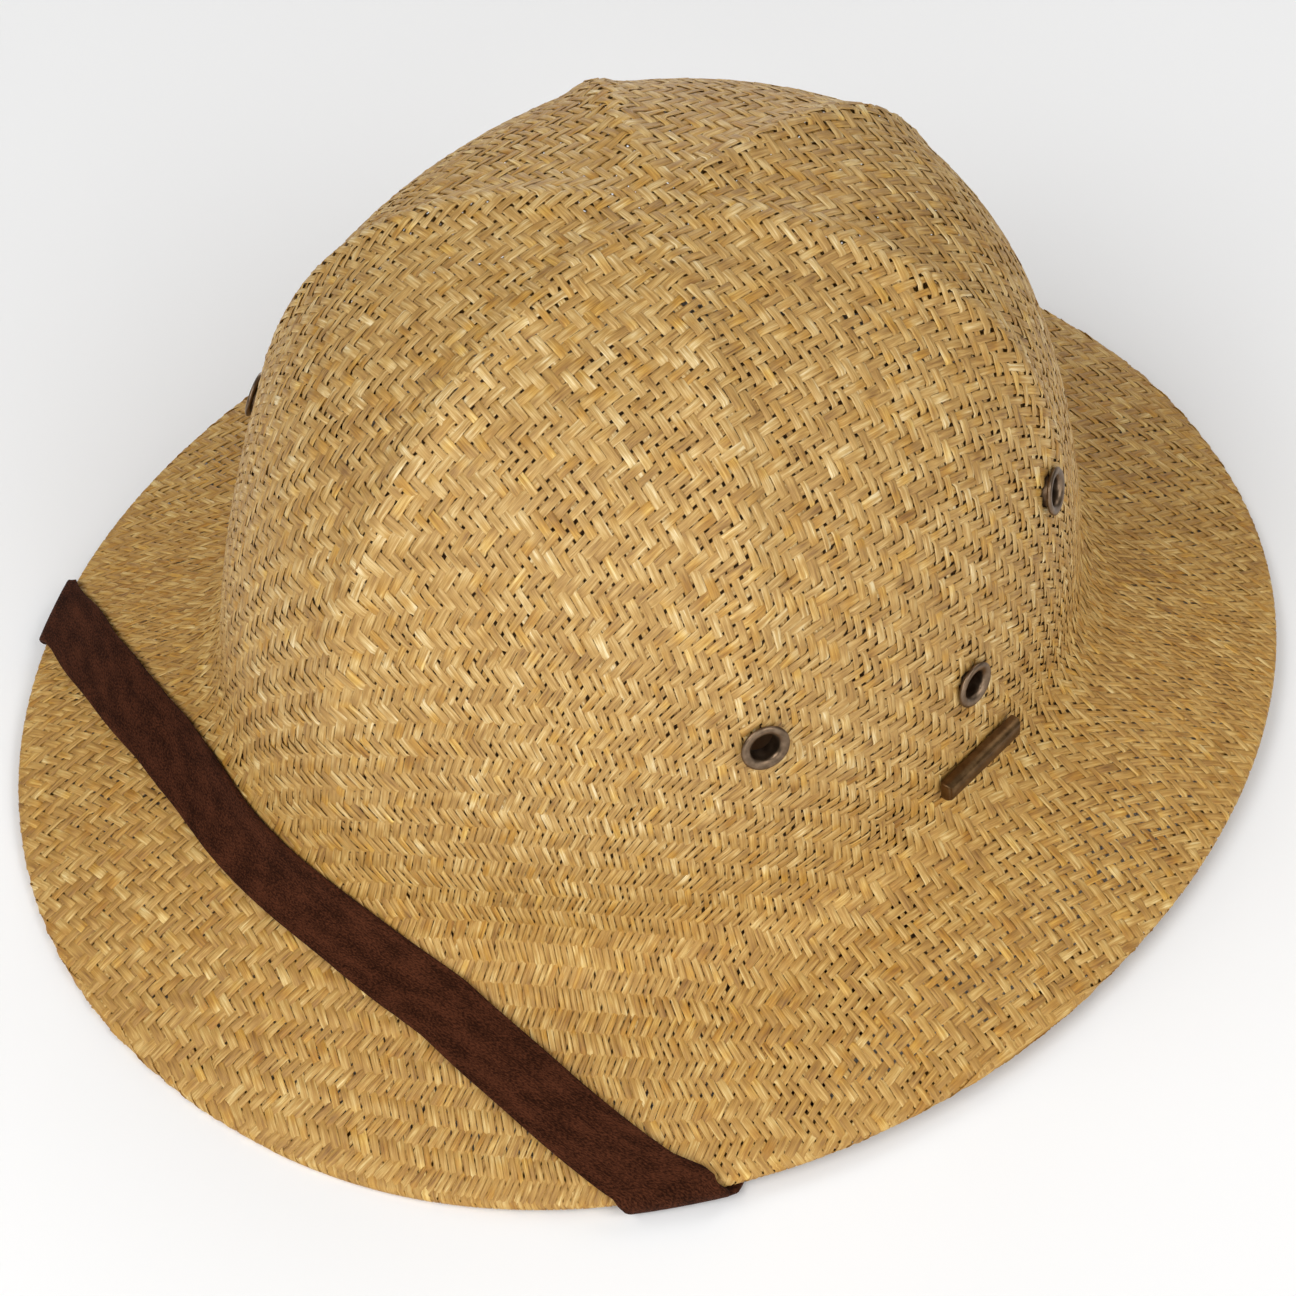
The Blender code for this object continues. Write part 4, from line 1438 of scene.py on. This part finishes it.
def build_badge():
    angle = math.radians(BADGE_ANGLE)
    seat = Vector(skin(angle, BADGE_WAY_DOWN))
    out = Vector(normal_of(plain_form, angle, BADGE_WAY_DOWN))
    along = Vector((math.cos(angle), math.sin(angle), 0.0))
    along = (along - out * along.dot(out)).normalized()
    bpy.ops.object.select_all(action="DESELECT")
    bpy.ops.mesh.primitive_cube_add(size=1.0)
    bar = bpy.context.object
    bar.name = "bar"
    bpy.ops.object.mode_set(mode="EDIT")
    bpy.ops.transform.resize(value=(BADGE_LENGTH, BADGE_HEIGHT, BADGE_DEPTH))
    bpy.ops.mesh.select_all(action="DESELECT")
    bpy.ops.object.mode_set(mode="OBJECT")
    points = bar.data.vertices
    for edge in bar.data.edges:
        a, b = (points[i].co for i in edge.vertices)
        edge.select = a.z > 0.0 and b.z > 0.0 and abs(a.x - b.x) > 0.5 * BADGE_LENGTH
    bpy.ops.object.mode_set(mode="EDIT")
    bpy.ops.mesh.select_mode(type="EDGE")
    bpy.ops.mesh.bevel(offset=0.45 * BADGE_HEIGHT, segments=8, profile=0.6)
    bpy.ops.mesh.select_all(action="DESELECT")
    bpy.ops.object.mode_set(mode="OBJECT")
    for edge in bar.data.edges:
        a, b = (points[i].co for i in edge.vertices)
        edge.select = abs(a.x) > 0.49 * BADGE_LENGTH and abs(a.x - b.x) < 0.01 * BADGE_LENGTH
    bpy.ops.object.mode_set(mode="EDIT")
    bpy.ops.mesh.bevel(offset=0.25 * MM, segments=3)
    bpy.ops.mesh.select_all(action="SELECT")
    bpy.ops.mesh.normals_make_consistent(inside=False)
    bpy.ops.object.mode_set(mode="OBJECT")
    bpy.ops.object.shade_smooth_by_angle(angle=math.radians(35.0))
    turn = Matrix((along, out.cross(along), out)).transposed().to_4x4()
    bar.matrix_world = Matrix.Translation(seat + out * (GAP + 0.5 * BADGE_DEPTH)) @ turn
    apply_place(bar)
    return bar


bar = build_badge()
join_hat(bar, "brass", "badge_bar")
print("bar faces:", len(bar.data.polygons))


# %% [markdown]
# ## Antique brass
# The metal parts are browned brass: dark in the hollows, with a worn warm shine where fingers
# reach. A group mixes the two by noise on object coordinates. The bar is browner than the rings.


# %% Brass finish
RING_RAMP = [
    # share of the noise, colour
    (0.30, (0.120, 0.080, 0.050)),
    (0.50, (0.190, 0.130, 0.083)),
    (0.70, (0.270, 0.190, 0.124)),
]
BAR_RAMP = [
    # share of the noise, colour
    (0.30, (0.088, 0.048, 0.020)),
    (0.50, (0.139, 0.078, 0.033)),
    (0.70, (0.198, 0.114, 0.050)),
]


def brass_material(name, ramp):
    material = bpy.data.materials.new(name)
    material.use_nodes = True
    tree = material.node_tree
    shader = tree.nodes["Principled BSDF"]
    group, given, made = new_group(
        "browned metal",
        [("Position", "NodeSocketVector")],
        [("Colour", "NodeSocketColor"), ("Roughness", "NodeSocketFloat"), ("Height", "NodeSocketFloat")],
    )
    clouds = noise_node(group, given.outputs["Position"], 420.0, 4.0, 0.6)
    grain = noise_node(group, given.outputs["Position"], 2600.0, 2.0, 0.5)
    colour = ramp_node(group, clouds, ramp)
    group.links.new(colour, made.inputs["Colour"])
    rough = math_node(group, "MULTIPLY_ADD", clouds, 0.2)
    rough.node.inputs[2].default_value = 0.3
    group.links.new(rough, made.inputs["Roughness"])
    group.links.new(grain, made.inputs["Height"])
    wear_and_highlight = tree.nodes.new("ShaderNodeGroup")
    wear_and_highlight.node_tree = group
    place = tree.nodes.new("ShaderNodeTexCoord")
    tree.links.new(place.outputs["Object"], wear_and_highlight.inputs["Position"])
    bump = tree.nodes.new("ShaderNodeBump")
    bump.inputs["Strength"].default_value = 0.15
    bump.inputs["Distance"].default_value = 0.03 * MM
    tree.links.new(wear_and_highlight.outputs["Height"], bump.inputs["Height"])
    tree.links.new(bump.outputs["Normal"], shader.inputs["Normal"])
    tree.links.new(wear_and_highlight.outputs["Colour"], shader.inputs["Base Color"])
    tree.links.new(wear_and_highlight.outputs["Roughness"], shader.inputs["Roughness"])
    shader.inputs["Metallic"].default_value = 1.0
    return material


ring_brass = brass_material("browned ring brass", RING_RAMP)
for eyelet in eyelets:
    eyelet.data.materials.append(ring_brass)
bar.data.materials.append(brass_material("browned bar brass", BAR_RAMP))
print("brass on", len(eyelets), "eyelets and the bar")
